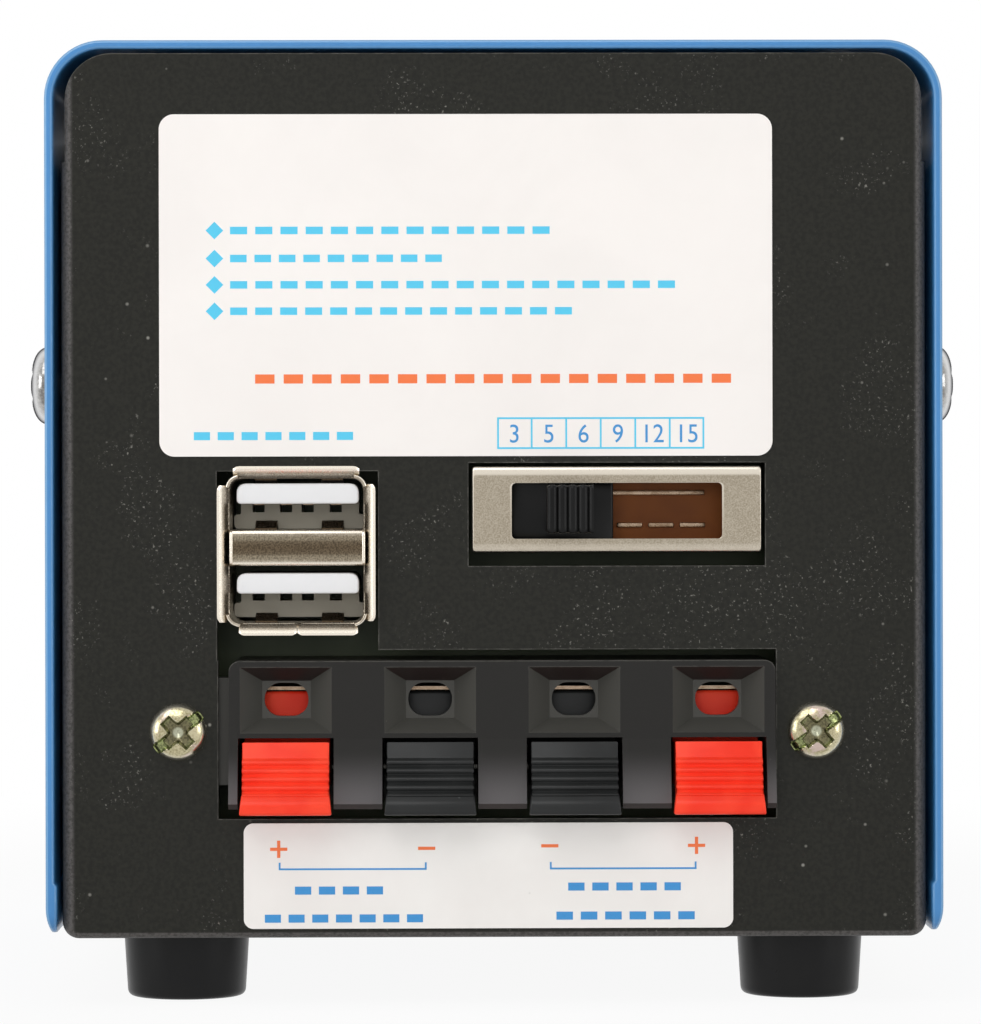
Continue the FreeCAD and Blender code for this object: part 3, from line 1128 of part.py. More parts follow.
def gear_plates():
    """Two plates held apart by four pillars; the rear one lies on the rear panel."""
    outline = rounded("-gear_plate_left", f"{base} + gear_plate_low_z", "gear_plate_right",
                      f"{base} + gear_plate_high_z", "gear_plate_corner")
    pillar_holes = [circle(x, z, screw_hole) for x, z in pillar_places]
    rear = Piece("gear_plate_rear")
    rear.pad("XZ", rear_plate_front, "gear_plate", outline)
    shaft_holes = [circle(*crank_axis, "bush_round / 2"), circle(*idler_axis, "idler_pin / 2")]
    through = "gear_plate + 2 * cut_over"
    rear.cut("XZ", f"{rear_plate_front} - cut_over", through, *pillar_holes, *shaft_holes)
    plate = Piece("gear_plate_front")
    plate.pad("XZ", front_plate_front, "gear_plate", outline)
    plate.cut("XZ", f"{front_plate_front} - cut_over", through, *pillar_holes, *shaft_holes,
              circle(*motor_axis, "motor_boss / 2 + screw_play"),
              *[circle(x, z, screw_hole) for x, z in motor_screws_at])
    pillars = Piece("gear_pillars")
    for x, z in pillar_places:
        pillars.pad("XZ", front_plate_back, "gear_space", circle(x, z, "pillar_round / 2"))
        for start in (front_plate_back, f"{rear_plate_front} - pillar_tap"):
            pillars.cut("XZ", start, "pillar_tap", circle(x, z, screw_hole))
    # eight like screws: four through the rear panel, four through the front plate
    length = "gear_plate + pillar_tap - gear_screw_short"
    screws = small_screws("gearbox_screws", "Y", pillar_places, back, -1, length)
    for centre in pillar_places:
        pan_screw(screws, "Y", centre, front_plate_front, 1, "small_head", "small_head_high", "small_screw", length)


motor_screws_at = [(motor_axis[0], f"{motor_axis[1]} {sign} motor_screw_circle / 2") for sign in "+-"]


def involute(angle):
    return math.tan(angle) - angle


def gear_teeth(made, teeth, shift, y0, width):
    """Turns a disc on the body's own Y axis into a spur gear: one space between two teeth, cut and repeated.

    The flanks are involutes, run on towards the axis where they start above the root.
    """
    module = value("gear_module")
    pressure = math.radians(value("pressure_angle"))
    pitch_radius = module * teeth / 2
    base_radius = pitch_radius * math.cos(pressure)
    root_radius = pitch_radius + module * (shift - value("tooth_root"))
    tip_radius = pitch_radius + module * (shift + 1)
    thickness = module * (math.pi / 2 + 2 * shift * math.tan(pressure)) - value("gear_backlash") / 2

    def space_edge(radius):
        """Half the angle of the space at a radius."""
        at = math.acos(min(1.0, base_radius / radius))
        return math.pi / teeth - thickness / (2 * pitch_radius) - involute(pressure) + involute(at)

    def point(radius, side):
        angle = side * space_edge(radius)
        return FreeCAD.Vector(radius * math.cos(angle), radius * math.sin(angle), 0)

    start = max(root_radius, base_radius)
    past_tip = 1.05  # the cut's outer end over the tip radius
    middle = (start + tip_radius) / 2
    sketch = made.sketch("XZ", y0)
    root = [FreeCAD.Vector(root_radius * math.cos(side * space_edge(start)),
                           root_radius * math.sin(side * space_edge(start)), 0) for side in (1, -1)]
    for side in (1, -1):
        foot_of_flank = point(start, side)
        corner = root[0] if side > 0 else root[1]
        if (foot_of_flank - corner).Length > 1e-4:
            sketch.addGeometry(Part.LineSegment(corner, foot_of_flank))
        sketch.addGeometry(Part.Arc(foot_of_flank, point(middle, side), point(tip_radius, side)))
        sketch.addGeometry(Part.LineSegment(point(tip_radius, side), point(tip_radius, side) * past_tip))
    sketch.addGeometry(Part.LineSegment(root[0], root[1]))
    sketch.addGeometry(Part.LineSegment(point(tip_radius, 1) * past_tip, point(tip_radius, -1) * past_tip))
    cut = made.body.newObject("PartDesign::Pocket", f"{made.label}_space_{made.count}")
    cut.Profile = sketch
    cut.setExpression("Length", full(width))
    cut.Reversed = False
    sketch.Visibility = False
    before = made.body.Shape.Volume
    doc.recompute()
    if made.body.Shape.Volume > before - 1e-6:
        raise RuntimeError(f"{cut.Label} cuts nothing")
    made.around(cut, "Y", teeth)


def tip_radius(teeth, sign):
    return f"gear_module * ({teeth} / 2 + 1 {sign} gear_shift)"


def seat_gear(made, centre, phase):
    """Puts a gear on its axis, turned so that one of its spaces points at phase degrees from +X towards +Z."""
    made.put(centre[0], "0", centre[1])
    made.body.Placement = FreeCAD.Placement(made.body.Placement.Base,
                                            FreeCAD.Rotation(FreeCAD.Vector(0, -1, 0), phase))
    for letter, formula in zip("xyz", (centre[0], "0", centre[1])):
        made.body.setExpression(f"Placement.Base.{letter}", full(formula))
    doc.recompute()


crank_wheel_back = f"({rear_plate_front} - wheel_gap)"
crank_wheel_front = f"({crank_wheel_back} - wheel_face)"
small_front = f"({crank_wheel_front} - (small_face - wheel_face) / 2)"
idler_back = f"({rear_plate_front} - gear_end_play)"
idler_front = f"({front_plate_back} + gear_end_play)"
large_front = idler_front
motor_pinion_front = f"({front_plate_back} + pinion_gap)"


def crank_wheel():
    """The large gear on the crank shaft, with a thin web and a hub with the shaft's two flats."""
    teeth = int(value("crank_teeth"))
    made = Piece("crank_wheel")
    made.pad("XZ", crank_wheel_front, "wheel_face", circle("0", "0", tip_radius("crank_teeth", "-")))
    gear_teeth(made, teeth, -value("gear_shift"), crank_wheel_front, "wheel_face")
    rim = "gear_module * (crank_teeth / 2 - tooth_root - gear_shift) - wheel_rim"
    made.cut("XZ", crank_wheel_front, "wheel_face - wheel_web",
             circle("0", "0", rim), circle("0", "0", "wheel_hub / 2"))
    holes = int(value("web_holes"))
    turns = [2 * math.pi * k / holes for k in range(holes)]
    hole_circle = f"({rim} + wheel_hub / 2) / 2"
    made.cut("XZ", crank_wheel_front, "wheel_face", *[
        circle(f"{math.cos(turn):.5f} * {hole_circle}", f"{math.sin(turn):.5f} * {hole_circle}", "web_hole / 2")
        for turn in turns])
    made.cut("XZ", crank_wheel_front, "wheel_face", circle("0", "0", "shaft_round / 2 + fixed_play"))
    seat_gear(made, crank_axis, value("idler_angle"))


def idler_gears():
    """The large gear with its hub, and the small gear fixed on the end of that hub, both free on the idler pin."""
    small = int(value("idler_small_teeth"))
    large = int(value("idler_large_teeth"))
    bore = circle("0", "0", "idler_pin / 2 + bush_play")
    small_long = f"({idler_back} - {small_front})"
    top = Piece("idler_small_gear")
    top.pad("XZ", small_front, small_long, circle("0", "0", tip_radius("idler_small_teeth", "+")))
    gear_teeth(top, small, value("gear_shift"), small_front, small_long)
    top.cut("XZ", small_front, small_long, bore)
    seat_gear(top, idler_axis, value("idler_angle") + 180 - 180 / small)
    wheel = Piece("idler_large_gear")
    wheel.pad("XZ", large_front, "large_face", circle("0", "0", tip_radius("idler_large_teeth", "-")))
    gear_teeth(wheel, large, -value("gear_shift"), large_front, "large_face")
    rim = "gear_module * (idler_large_teeth / 2 - tooth_root - gear_shift) - wheel_rim"
    wheel.cut("XZ", f"{large_front} + wheel_web", "large_face - wheel_web", circle("0", "0", rim),
              circle("0", "0", "idler_hub / 2"))
    wheel.pad("XZ", large_front, f"{small_front} - {large_front}", circle("0", "0", "idler_hub / 2"))
    wheel.cut("XZ", large_front, f"{small_front} - {large_front}", bore)
    seat_gear(wheel, idler_axis, value("motor_angle"))


def motor_pinion():
    teeth = int(value("motor_teeth"))
    made = Piece("motor_pinion")
    made.pad("XZ", motor_pinion_front, "small_face", circle("0", "0", tip_radius("motor_teeth", "+")))
    gear_teeth(made, teeth, value("gear_shift"), motor_pinion_front, "small_face")
    made.cut("XZ", motor_pinion_front, "small_face", circle("0", "0", "motor_shaft / 2"))
    seat_gear(made, motor_axis, value("motor_angle") + 180 - 180 / teeth)


def gear_shafts():
    Piece("idler_pin").pad("XZ", front_plate_front, f"{rear_plate_back} - {front_plate_front}",
                           circle(*idler_axis, "idler_pin / 2"))
    bushes = Piece("crank_bushes")
    for plate_face, length in ((rear_plate_front, "gear_plate + chassis_sheet + bush_past"),
                               (front_plate_front, "gear_plate")):
        bushes.pad("XZ", f"{plate_face} - bush_flange_thick", "bush_flange_thick", circle(*crank_axis, "bush_flange / 2"),
                   circle(*crank_axis, "shaft_round / 2 + bush_play"))
        bushes.pad("XZ", plate_face, length, circle(*crank_axis, "bush_round / 2"),
                   circle(*crank_axis, "shaft_round / 2 + bush_play"))


# ---- crank ----

arm_front = f"({back} + arm_gap)"
arm_back = f"({arm_front} + arm_thick)"
grip_front = f"({arm_back} + grip_gap)"
grip_axis = ("0", f"({crank_axis[1]} - crank_radius)")
shaft_front = f"({front_plate_front} - bush_flange_thick - shaft_past)"


def crank_shaft():
    """A round shaft with a collar before the front bush, two flats for the arm and a tapped end."""
    made = Piece("crank_shaft")
    made.pad("XZ", f"{front_plate_front} - bush_flange_thick - collar_gap - collar_thick", "collar_thick",
             circle(*crank_axis, "bush_round / 2"))
    made.pad("XZ", shaft_front, f"{arm_back} - collar_gap - {shaft_front}", circle(*crank_axis, "shaft_round / 2"))
    for side in ("1", "-1"):
        made.cut("XZ", arm_front, "arm_thick", box_at(f"{side} * (shaft_round / 2 - shaft_flat + cut_over)",
                                                      crank_axis[1], "2 * cut_over", "shaft_round + cut_over"))
    made.cut("XZ", f"{arm_back} - crank_screw_long - collar_gap", "crank_screw_long",
             circle(*crank_axis, "crank_screw / 2 + screw_play"))


def crank_arm():
    """A flat steel bar with a round end at each axis."""
    made = Piece("crank_arm")
    made.pad("XZ", arm_front, "arm_thick", circle(*crank_axis, "arm_boss / 2"))
    made.pad("XZ", arm_front, "arm_thick", circle(*grip_axis, "arm_wide / 2"))
    made.pad("XZ", arm_front, "arm_thick", rect("-arm_wide / 2", grip_axis[1], "arm_wide / 2", crank_axis[1]))
    made.chamfer("arm_edge", lambda edge: abs(edge.CenterOfMass.y - value(arm_back)) < 0.01)
    made.cut("XZ", arm_front, "arm_thick", flatted(*crank_axis, "shaft_round / 2 + bush_play",
                                                   "shaft_round / 2 - shaft_flat + bush_play"))
    made.cut("XZ", arm_front, "arm_thick", circle(*grip_axis, "crank_screw / 2 + screw_play"))


def crank_fasteners():
    pan_screw(Piece("crank_screw"), "Y", crank_axis, arm_back, -1, "crank_head", "crank_head_high", "crank_screw",
              "crank_screw_long - gear_screw_short")
    bolt = Piece("grip_bolt")
    seat = f"({arm_back} + grip_gap + grip_long - grip_recess_deep)"
    bolt.turn("Y", grip_axis, [
        (arm_front, "0"), (arm_front, "crank_screw / 2"), (arm_back, "crank_screw / 2"), (arm_back, "grip_bolt / 2"),
        (f"{seat} + bolt_end_play", "grip_bolt / 2"), (f"{seat} + bolt_end_play", "grip_bolt_head / 2"),
        (f"{seat} + grip_bolt_head_high - bolt_edge", "grip_bolt_head / 2"),
        (f"{seat} + grip_bolt_head_high", "grip_bolt_head / 2 - bolt_edge"),
        (f"{seat} + grip_bolt_head_high", "0")])


def grip():
    """A barrel shaped handle with rings round it, free on its bolt."""
    made = Piece("grip")
    end = f"({grip_front} + grip_long)"
    rings = []
    count = int(value("grip_rings"))
    for k in range(count):
        share = 0.5 + (k - (count - 1) / 2) * value("grip_ring_pitch")
        middle = f"{grip_front} + grip_long * {share:.3f}"
        bulge = math.sin(math.pi * share)
        radius = f"grip_waist / 2 + (grip_round - grip_waist) / 2 * {bulge:.4f}"
        rings += [(f"{middle} - grip_groove / 2 - grip_groove_flank", radius),
                  (f"{middle} - grip_groove / 2", f"{radius} - grip_groove_deep"),
                  (f"{middle} + grip_groove / 2", f"{radius} - grip_groove_deep"),
                  (f"{middle} + grip_groove / 2 + grip_groove_flank", radius)]
    made.turn("Y", grip_axis, [
        (grip_front, "grip_bolt / 2 + grip_play"), (grip_front, "grip_waist / 2 - grip_edge"),
        (f"{grip_front} + grip_edge", "grip_waist / 2"), *rings, (f"{end} - grip_edge", "grip_waist / 2"),
        (end, "grip_waist / 2 - grip_edge"), (end, "grip_recess / 2"),
        (f"{end} - grip_recess_deep", "grip_recess / 2"),
        (f"{end} - grip_recess_deep", "grip_bolt / 2 + grip_play")])


# ---- motor ----

can_back = front_plate_front
can_front = f"({can_back} - motor_long)"
armature_front = f"({can_front} + cap_thick + commutator_long + winding_room)"
motor_x, motor_z = motor_axis


def motor_case():
    """A drawn steel can with a bearing boss, closed at its free end by a moulded cap."""
    can = Piece("motor_can")
    can.turn("Y", motor_axis, [
        (f"{can_front} + cap_thick", "motor_round / 2 - can_wall"), (f"{can_front} + cap_thick", "motor_round / 2"),
        (f"{can_back} - motor_edge", "motor_round / 2"), (can_back, "motor_round / 2 - motor_edge"),
        (can_back, "motor_boss / 2"),
        (f"{can_back} + motor_boss_high", "motor_boss / 2"), (f"{can_back} + motor_boss_high", "motor_bush / 2"),
        (f"{can_back} - can_wall", "motor_bush / 2"), (f"{can_back} - can_wall", "motor_round / 2 - can_wall")])
    can.cut("XZ", f"{can_back} - can_wall - cut_over", "can_wall + 2 * cut_over",
            *[circle(x, z, screw_hole) for x, z in motor_screws_at])
    cap = Piece("motor_cap")
    cap.turn("Y", motor_axis, [
        (can_front, "motor_bush / 2"), (can_front, "motor_round / 2 - motor_edge"),
        (f"{can_front} + motor_edge", "motor_round / 2"),
        (f"{can_front} + cap_thick", "motor_round / 2"), (f"{can_front} + cap_thick", "motor_bush / 2")])
    cap.cut("XZ", can_front, "cap_thick", *[
        box_at(f"{motor_x} {sign} brush_slot_at", motor_z, "brush_slot_wide", "brush_slot_high") for sign in "+-"])
    bushes = Piece("motor_bushes")
    bore = "motor_shaft / 2 + bush_play"
    bushes.pad("XZ", f"{can_back} - can_wall", "can_wall + motor_boss_high",
               circle(*motor_axis, "motor_bush / 2"), circle(*motor_axis, bore))
    bushes.pad("XZ", can_front, "cap_thick", circle(*motor_axis, "motor_bush / 2"), circle(*motor_axis, bore))
    magnets = Piece("motor_magnets")
    magnets.pad("XZ", f"{armature_front} - magnet_past", "armature_long + 2 * magnet_past",
                circle(*motor_axis, "motor_round / 2 - can_wall"),
                circle(*motor_axis, "motor_round / 2 - can_wall - magnet_thick"))
    magnets.cut("XZ", f"{armature_front} - magnet_past", "armature_long + 2 * magnet_past",
                box_at(motor_x, motor_z, "magnet_gap", "motor_round"))
    small_screws("motor_screws", "Y", motor_screws_at, front_plate_back, -1, "gear_plate + can_wall + cut_over")


def motor_rotor():
    """Slotted armature, its copper windings, the commutator and the shaft that carries the pinion."""
    radius = "(motor_round / 2 - can_wall - magnet_thick - air_gap)"
    armature = Piece("armature")
    armature.pad("XZ", armature_front, "armature_long", circle("0", "0", radius), circle("0", "0", "motor_shaft / 2"))
    mouth = rect(f"{radius} - pole_slot_deep", "-pole_slot_wide / 2", f"{radius} + cut_over", "pole_slot_wide / 2")
    slot = armature.feature("Pocket", "XZ", armature_front, "armature_long", [mouth], False)
    doc.recompute()
    armature.around(slot, "Y", "armature_poles")
    armature.put(motor_x, "0", motor_z)
    windings = Piece("windings")
    for start in (f"{armature_front} - winding_long", f"{armature_front} + armature_long"):
        windings.pad("XZ", start, "winding_long", circle(*motor_axis, f"{radius} - winding_in"),
                     circle(*motor_axis, "motor_shaft / 2 + winding_bore"))
    Piece("commutator").pad("XZ", f"{can_front} + cap_thick + commutator_gap", "commutator_long",
                            circle(*motor_axis, "commutator_round / 2"), circle(*motor_axis, "motor_shaft / 2"))
    shaft_low = f"({can_front} - shaft_out)"
    Piece("motor_shaft").pad("XZ", shaft_low, f"{motor_pinion_front} + small_face + pinion_out - {shaft_low}",
                             circle(*motor_axis, "motor_shaft / 2"))


chassis()
cover()
for name, x, y in foot_places:
    foot(name, x, y)
foot_fasteners()
cover_fasteners()
labels()
terminal_body()
for number in clip_numbers:
    terminal_lever(number)
terminal_metal()
usb_shell()
usb_inside()
switch_frame()
switch_inside()
switch_slider()
circuit_board()
board_fasteners()
board_parts()
gear_plates()
crank_wheel()
idler_gears()
motor_pinion()
gear_shafts()
crank_shaft()
crank_arm()
crank_fasteners()
grip()
motor_case()
motor_rotor()

doc.recompute()
for thing in doc.Objects:
    if any(word in ("Invalid", "Error") for word in thing.State):
        raise RuntimeError(f"{thing.Label} is {thing.State}")
for piece in pieces:
    if piece.Shape.isNull() or not piece.Shape.isValid() or not piece.Shape.Solids:
        raise RuntimeError(f"{piece.Label} has no valid shape")
for piece in pieces:
    piece.Shape.exportStep(f"parts/{piece.Label}.step")
    print(piece.Label, len(piece.Shape.Solids), round(piece.Shape.Volume, 1))
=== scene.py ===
import json
import math
from itertools import product

import bmesh
import bpy
import numpy as np
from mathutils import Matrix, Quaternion, Vector


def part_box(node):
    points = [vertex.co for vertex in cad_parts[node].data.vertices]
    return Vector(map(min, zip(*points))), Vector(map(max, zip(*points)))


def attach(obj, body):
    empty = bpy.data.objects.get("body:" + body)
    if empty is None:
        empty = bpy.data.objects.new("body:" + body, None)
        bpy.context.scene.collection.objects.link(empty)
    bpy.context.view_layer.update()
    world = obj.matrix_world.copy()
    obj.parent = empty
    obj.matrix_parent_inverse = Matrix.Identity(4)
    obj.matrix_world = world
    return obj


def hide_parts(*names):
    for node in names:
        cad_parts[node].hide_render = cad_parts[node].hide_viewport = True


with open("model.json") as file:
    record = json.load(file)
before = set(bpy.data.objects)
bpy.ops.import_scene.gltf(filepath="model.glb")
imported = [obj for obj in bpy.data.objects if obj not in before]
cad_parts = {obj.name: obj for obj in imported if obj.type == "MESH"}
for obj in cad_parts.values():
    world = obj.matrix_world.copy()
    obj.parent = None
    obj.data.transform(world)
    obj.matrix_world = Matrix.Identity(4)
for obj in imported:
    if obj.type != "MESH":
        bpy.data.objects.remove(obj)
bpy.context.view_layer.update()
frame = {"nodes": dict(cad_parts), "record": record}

mm = 0.001
nodes = frame["nodes"]
scene = bpy.context.scene
scene.view_settings.view_transform = "Standard"


def nodeBox(name):
    # lowest and highest corner of a CAD node, in millimetres
    low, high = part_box(name)
    return np.array(low) / mm, np.array(high) / mm


panelFront = nodeBox("chassis")[0][1]


# nodes

def srgb(red, green, blue):
    # 8-bit screen colour to linear
    part = np.array([red, green, blue]) / 255
    linear = np.where(part <= 0.04045, part / 12.92, ((part + 0.055) / 1.055) ** 2.4)
    return (*[float(x) for x in linear], 1.0)


class Tree:
    # short words for adding and joining nodes
    def __init__(self, tree):
        self.tree = tree
        tree.nodes.clear()

    def node(self, kind, **settings):
        # a name with a capital is a socket, with _ for its spaces; any other is the node's own setting
        made = self.tree.nodes.new(kind)
        for key, setting in settings.items():
            if key[0].isupper():
                self.put(made.inputs[key.replace("_", " ")], setting)
            else:
                setattr(made, key, setting)
        return made

    def put(self, target, source):
        # a socket gets either a link or a plain value
        if isinstance(source, bpy.types.NodeSocket):
            self.tree.links.new(source, target)
        else:
            target.default_value = source

    def math(self, operation, first, second=0.0, clamp=False):
        made = self.node("ShaderNodeMath", operation=operation, use_clamp=clamp)
        self.put(made.inputs[0], first)
        self.put(made.inputs[1], second)
        return made.outputs[0]

    def times(self, first, second, clamp=False):
        return self.math("MULTIPLY", first, second, clamp)

    def line(self, source, slope, start):
        # start + slope * source
        return self.math("ADD", self.times(source, slope), start)

    def vector(self, operation, first, second=(0, 0, 0)):
        made = self.node("ShaderNodeVectorMath", operation=operation, Vector=first)
        self.put(made.inputs[1], second)
        return made.outputs

    def ramp(self, source, low, high, first=0.0, last=1.0):
        # a smooth step from first to last, while source runs from low to high
        return self.node("ShaderNodeMapRange", interpolation_type="SMOOTHSTEP", Value=source, From_Min=low,
                         From_Max=high, To_Min=first, To_Max=last).outputs["Result"]

    def noise(self, place, scale, detail, rough, distortion=0.0):
        return self.node("ShaderNodeTexNoise", Vector=place, Scale=scale, Detail=detail, Roughness=rough,
                         Distortion=distortion).outputs["Fac"]

    def scale(self, size):
        # a texture's scale for a size in mm
        return self.math("DIVIDE", 1 / mm, size)

    def place(self):
        return self.node("ShaderNodeTexCoord").outputs["Object"]

    def facing(self):
        return self.node("ShaderNodeNewGeometry").outputs["Normal"]

    def parts(self, vector):
        return self.node("ShaderNodeSeparateXYZ", Vector=vector).outputs

    def mixed(self, share, first, second, output):
        # two shaders mixed and led to the output
        mix = self.node("ShaderNodeMixShader")
        for socket, source in zip(mix.inputs, (share, first.outputs[0], second.outputs[0])):
            self.put(socket, source)
        self.node(output, Surface=mix.outputs[0])


# camera, lamps and stage

view = {
    "distance": 450.0,          # from the output panel, mm
    "eye": (-6.0, 46.8), "aim": (-0.35, 46.1),      # x and height
    "pixel": 0.093,             # width of one picture element at the panel, mm
    "picture": (981, 1024),
    "roll": -0.12,              # degrees
    "sensor": 36.0,
    "clip": (0.01, 20.0),       # metres
}


def turnTo(thing, place, aim, roll=0.0):
    # places a camera or lamp and points it, both in mm
    toward = (Vector(aim) - Vector(place)).to_track_quat("-Z", "Y")
    thing.location = Vector(place) * mm
    thing.rotation_mode = "QUATERNION"
    thing.rotation_quaternion = toward @ Quaternion((0, 0, 1), math.radians(roll))
    scene.collection.objects.link(thing)


def makeCamera():
    data = bpy.data.cameras.new("camera")
    data.sensor_fit = "AUTO"
    data.sensor_width = view["sensor"]
    data.lens = view["sensor"] * view["distance"] / (view["pixel"] * max(view["picture"]))
    data.clip_start, data.clip_end = view["clip"]
    scene.camera = bpy.data.objects.new("camera", data)
    (eyeX, eyeZ), (aimX, aimZ) = view["eye"], view["aim"]
    turnTo(scene.camera, (eyeX, panelFront - view["distance"], eyeZ), (aimX, panelFront, aimZ), view["roll"])


lamps = {
    # name: place, aimed at, width, height (mm), watts, and whether metal mirrors it
    "softboxAbove": ((-200, -460, 540), (0, -40, 45), 560, 400, 1.5, True),
    "softboxLeft": ((-600, -380, 110), (0, -60, 40), 260, 420, 1.1, True),
    "softboxRight": ((560, -430, 100), (0, -60, 40), 220, 420, 0.9, True),
    "fillFront": ((-40, -780, 130), (0, -60, 40), 300, 220, 1.2, False),
    "softboxBehind": ((120, 620, 520), (0, 20, 45), 420, 320, 2.0, False),
}


def makeLamps():
    for name, (place, aim, wide, high, power, mirrored) in lamps.items():
        data = bpy.data.lights.new(name, "AREA")
        data.shape = "RECTANGLE"
        data.size, data.size_y = wide * mm, high * mm
        data.energy = power
        made = bpy.data.objects.new(name, data)
        made.visible_glossy = mirrored
        turnTo(made, place, aim)


stageLook = {
    "worldStrength": 0.3, "seenWhite": 1.0, "floorWhite": 0.86,
    "floorSize": 6.0,           # from the middle to each side, metres
    "shadowShare": 0.075, "shadowFrom": 90.0, "shadowTo": 260.0,        # mm from the middle
}


def seenFactor(t):
    # 1 where the ray comes straight from the camera, a mirror or clear glass
    path = t.node("ShaderNodeLightPath").outputs
    return t.math("MAXIMUM", path["Is Camera Ray"],
                  t.math("MAXIMUM", path["Is Glossy Ray"], path["Is Transmission Ray"]))


def makeStage():
    c = stageLook
    scene.world = bpy.data.worlds.new("studio")
    scene.world.use_nodes = True
    t = Tree(scene.world.node_tree)
    plain, seen = [t.node("ShaderNodeBackground", Color=(1, 1, 1, 1), Strength=c[name])
                   for name in ("worldStrength", "seenWhite")]
    t.mixed(seenFactor(t), plain, seen, "ShaderNodeOutputWorld")

    data = bpy.data.meshes.new("floor")
    corners = np.array([(-1, -1, 0), (1, -1, 0), (1, 1, 0), (-1, 1, 0)]) * c["floorSize"]
    data.from_pydata(corners, [], [(0, 1, 2, 3)])
    floor = bpy.data.objects.new("floor", data)
    scene.collection.objects.link(floor)
    paper = bpy.data.materials.new("floorPaper")
    paper.use_nodes = True
    t = Tree(paper.node_tree)
    # the paper's own shading shows only round the object, and fades to plain white further out
    away = t.vector("LENGTH", t.place())["Value"]
    fade = t.ramp(away, c["shadowFrom"] * mm, c["shadowTo"] * mm, 1 - c["shadowShare"])
    t.mixed(t.times(seenFactor(t), fade), t.node("ShaderNodeBsdfDiffuse", Color=(*[c["floorWhite"]] * 3, 1)),
            t.node("ShaderNodeEmission"), "ShaderNodeOutputMaterial")
    data.materials.append(paper)


makeCamera()
makeLamps()
makeStage()
print("camera, lamps and floor are in place")


# shader node groups, each built once and used by several materials

def newGroup(name, outputs, **inputs):
    # names of its outputs, and of its inputs with their usual values, all plain numbers
    group = bpy.data.node_groups.new(name, "ShaderNodeTree")
    for label, usual in inputs.items():
        socket = group.interface.new_socket(name=label, in_out="INPUT", socket_type="NodeSocketFloat")
        socket.default_value = usual
    for label in outputs:
        group.interface.new_socket(name=label, in_out="OUTPUT", socket_type="NodeSocketFloat")
    t = Tree(group)
    return t, t.node("NodeGroupInput").outputs, t.node("NodeGroupOutput").inputs


def makeGrain():
    # pebbled lacquer or moulded texture: height from round lumps and two sizes of noise
    t, start, end = newGroup("grain", ("Height", "Shade"), Size=0.4, Softness=0.5)
    place, scale = t.place(), t.scale(start["Size"])
    coarse = t.noise(place, scale, 2.0, 0.5)
    fine = t.noise(place, t.times(scale, 2.7), 2.0, 0.6)
    cells = t.node("ShaderNodeTexVoronoi", feature="SMOOTH_F1", Vector=place, Scale=scale,
                   Smoothness=start["Softness"])
    lump = t.math("SUBTRACT", 1.0, cells.outputs["Distance"])
    t.put(end["Height"], t.line(lump, 0.5, t.line(coarse, 0.35, t.times(fine, 0.15))))
    t.put(end["Shade"], coarse)


def makeSpecks():
    # sparse dust: a round dot in some cells of a pattern, its size and strength drawn from the cell's colour
    t, start, end = newGroup("specks", ("Mask",), Spacing=1.6, Amount=0.2, Dot=0.09)
    cells = t.node("ShaderNodeTexVoronoi", feature="F1", Vector=t.place(),
                   Scale=t.scale(start["Spacing"])).outputs
    red, green, blue = t.node("ShaderNodeSeparateColor", Color=cells["Color"]).outputs
    chosen = t.math("LESS_THAN", red, start["Amount"])
    radius = t.times(start["Dot"], t.math("ADD", green, 0.3))
    dot = t.math("SUBTRACT", 1.0, t.math("DIVIDE", cells["Distance"], radius), clamp=True)
    t.put(end["Mask"], t.times(t.times(dot, chosen), t.math("ADD", blue, 0.35), clamp=True))


def makeEdgeWearAndHighlight():
    # how much a rounded normal differs from the face's own, broken up by noise: laid as pale wear and as
    # painted edge highlight
    t, start, end = newGroup("edgeWearAndHighlight", ("Mask",), Radius=0.25, Break=0.5)
    rounded = t.node("ShaderNodeBevel", samples=6, Radius=t.times(start["Radius"], mm))
    same = t.vector("DOT_PRODUCT", rounded.outputs[0], t.facing())["Value"]
    edge = t.times(t.math("SUBTRACT", 1.0, same), 6.0, clamp=True)
    wearAndHighlight = t.math("GREATER_THAN", t.noise(t.place(), 900.0, 4.0, 0.7), start["Break"])
    t.put(end["Mask"], t.times(edge, t.line(wearAndHighlight, 0.65, 0.35), clamp=True))


def makeMottle():
    # cloudy patches with fine grit, as on plated sheet, both 0 to 1
    t, start, end = newGroup("mottle", ("Cloud", "Fleck"), Patch=3.0, Grit=0.25, Stretch=1.0)
    sides = t.node("ShaderNodeCombineXYZ", X=start["Stretch"], Y=1.0, Z=1.0)
    drawn = t.vector("MULTIPLY", t.place(), sides.outputs[0])[0]
    t.put(end["Cloud"], t.noise(drawn, t.scale(start["Patch"]), 4.0, 0.6, 0.4))
    t.put(end["Fleck"], t.noise(drawn, t.scale(start["Grit"]), 3.0, 0.7))


def makeFlow():
    # slow waves and hair scratches of a moulded or lacquered surface
    t, start, end = newGroup("flow", ("Height", "Scratches"), Wave=6.0, Scratch=0.3)
    place = t.place()
    drawn = t.node("ShaderNodeMapping", Vector=place, Rotation=(0.3, 0.5, 0.9), Scale=(1.0, 30.0, 30.0))
    hair = t.noise(drawn.outputs[0], t.math("DIVIDE", 60.0, start["Scratch"]), 3.0, 0.8)
    t.put(end["Height"], t.noise(place, t.scale(start["Wave"]), 2.0, 0.5, 0.3))
    t.put(end["Scratches"], t.ramp(hair, 0.66, 0.72))


for makeGroup in (makeGrain, makeSpecks, makeEdgeWearAndHighlight, makeMottle, makeFlow):
    makeGroup()


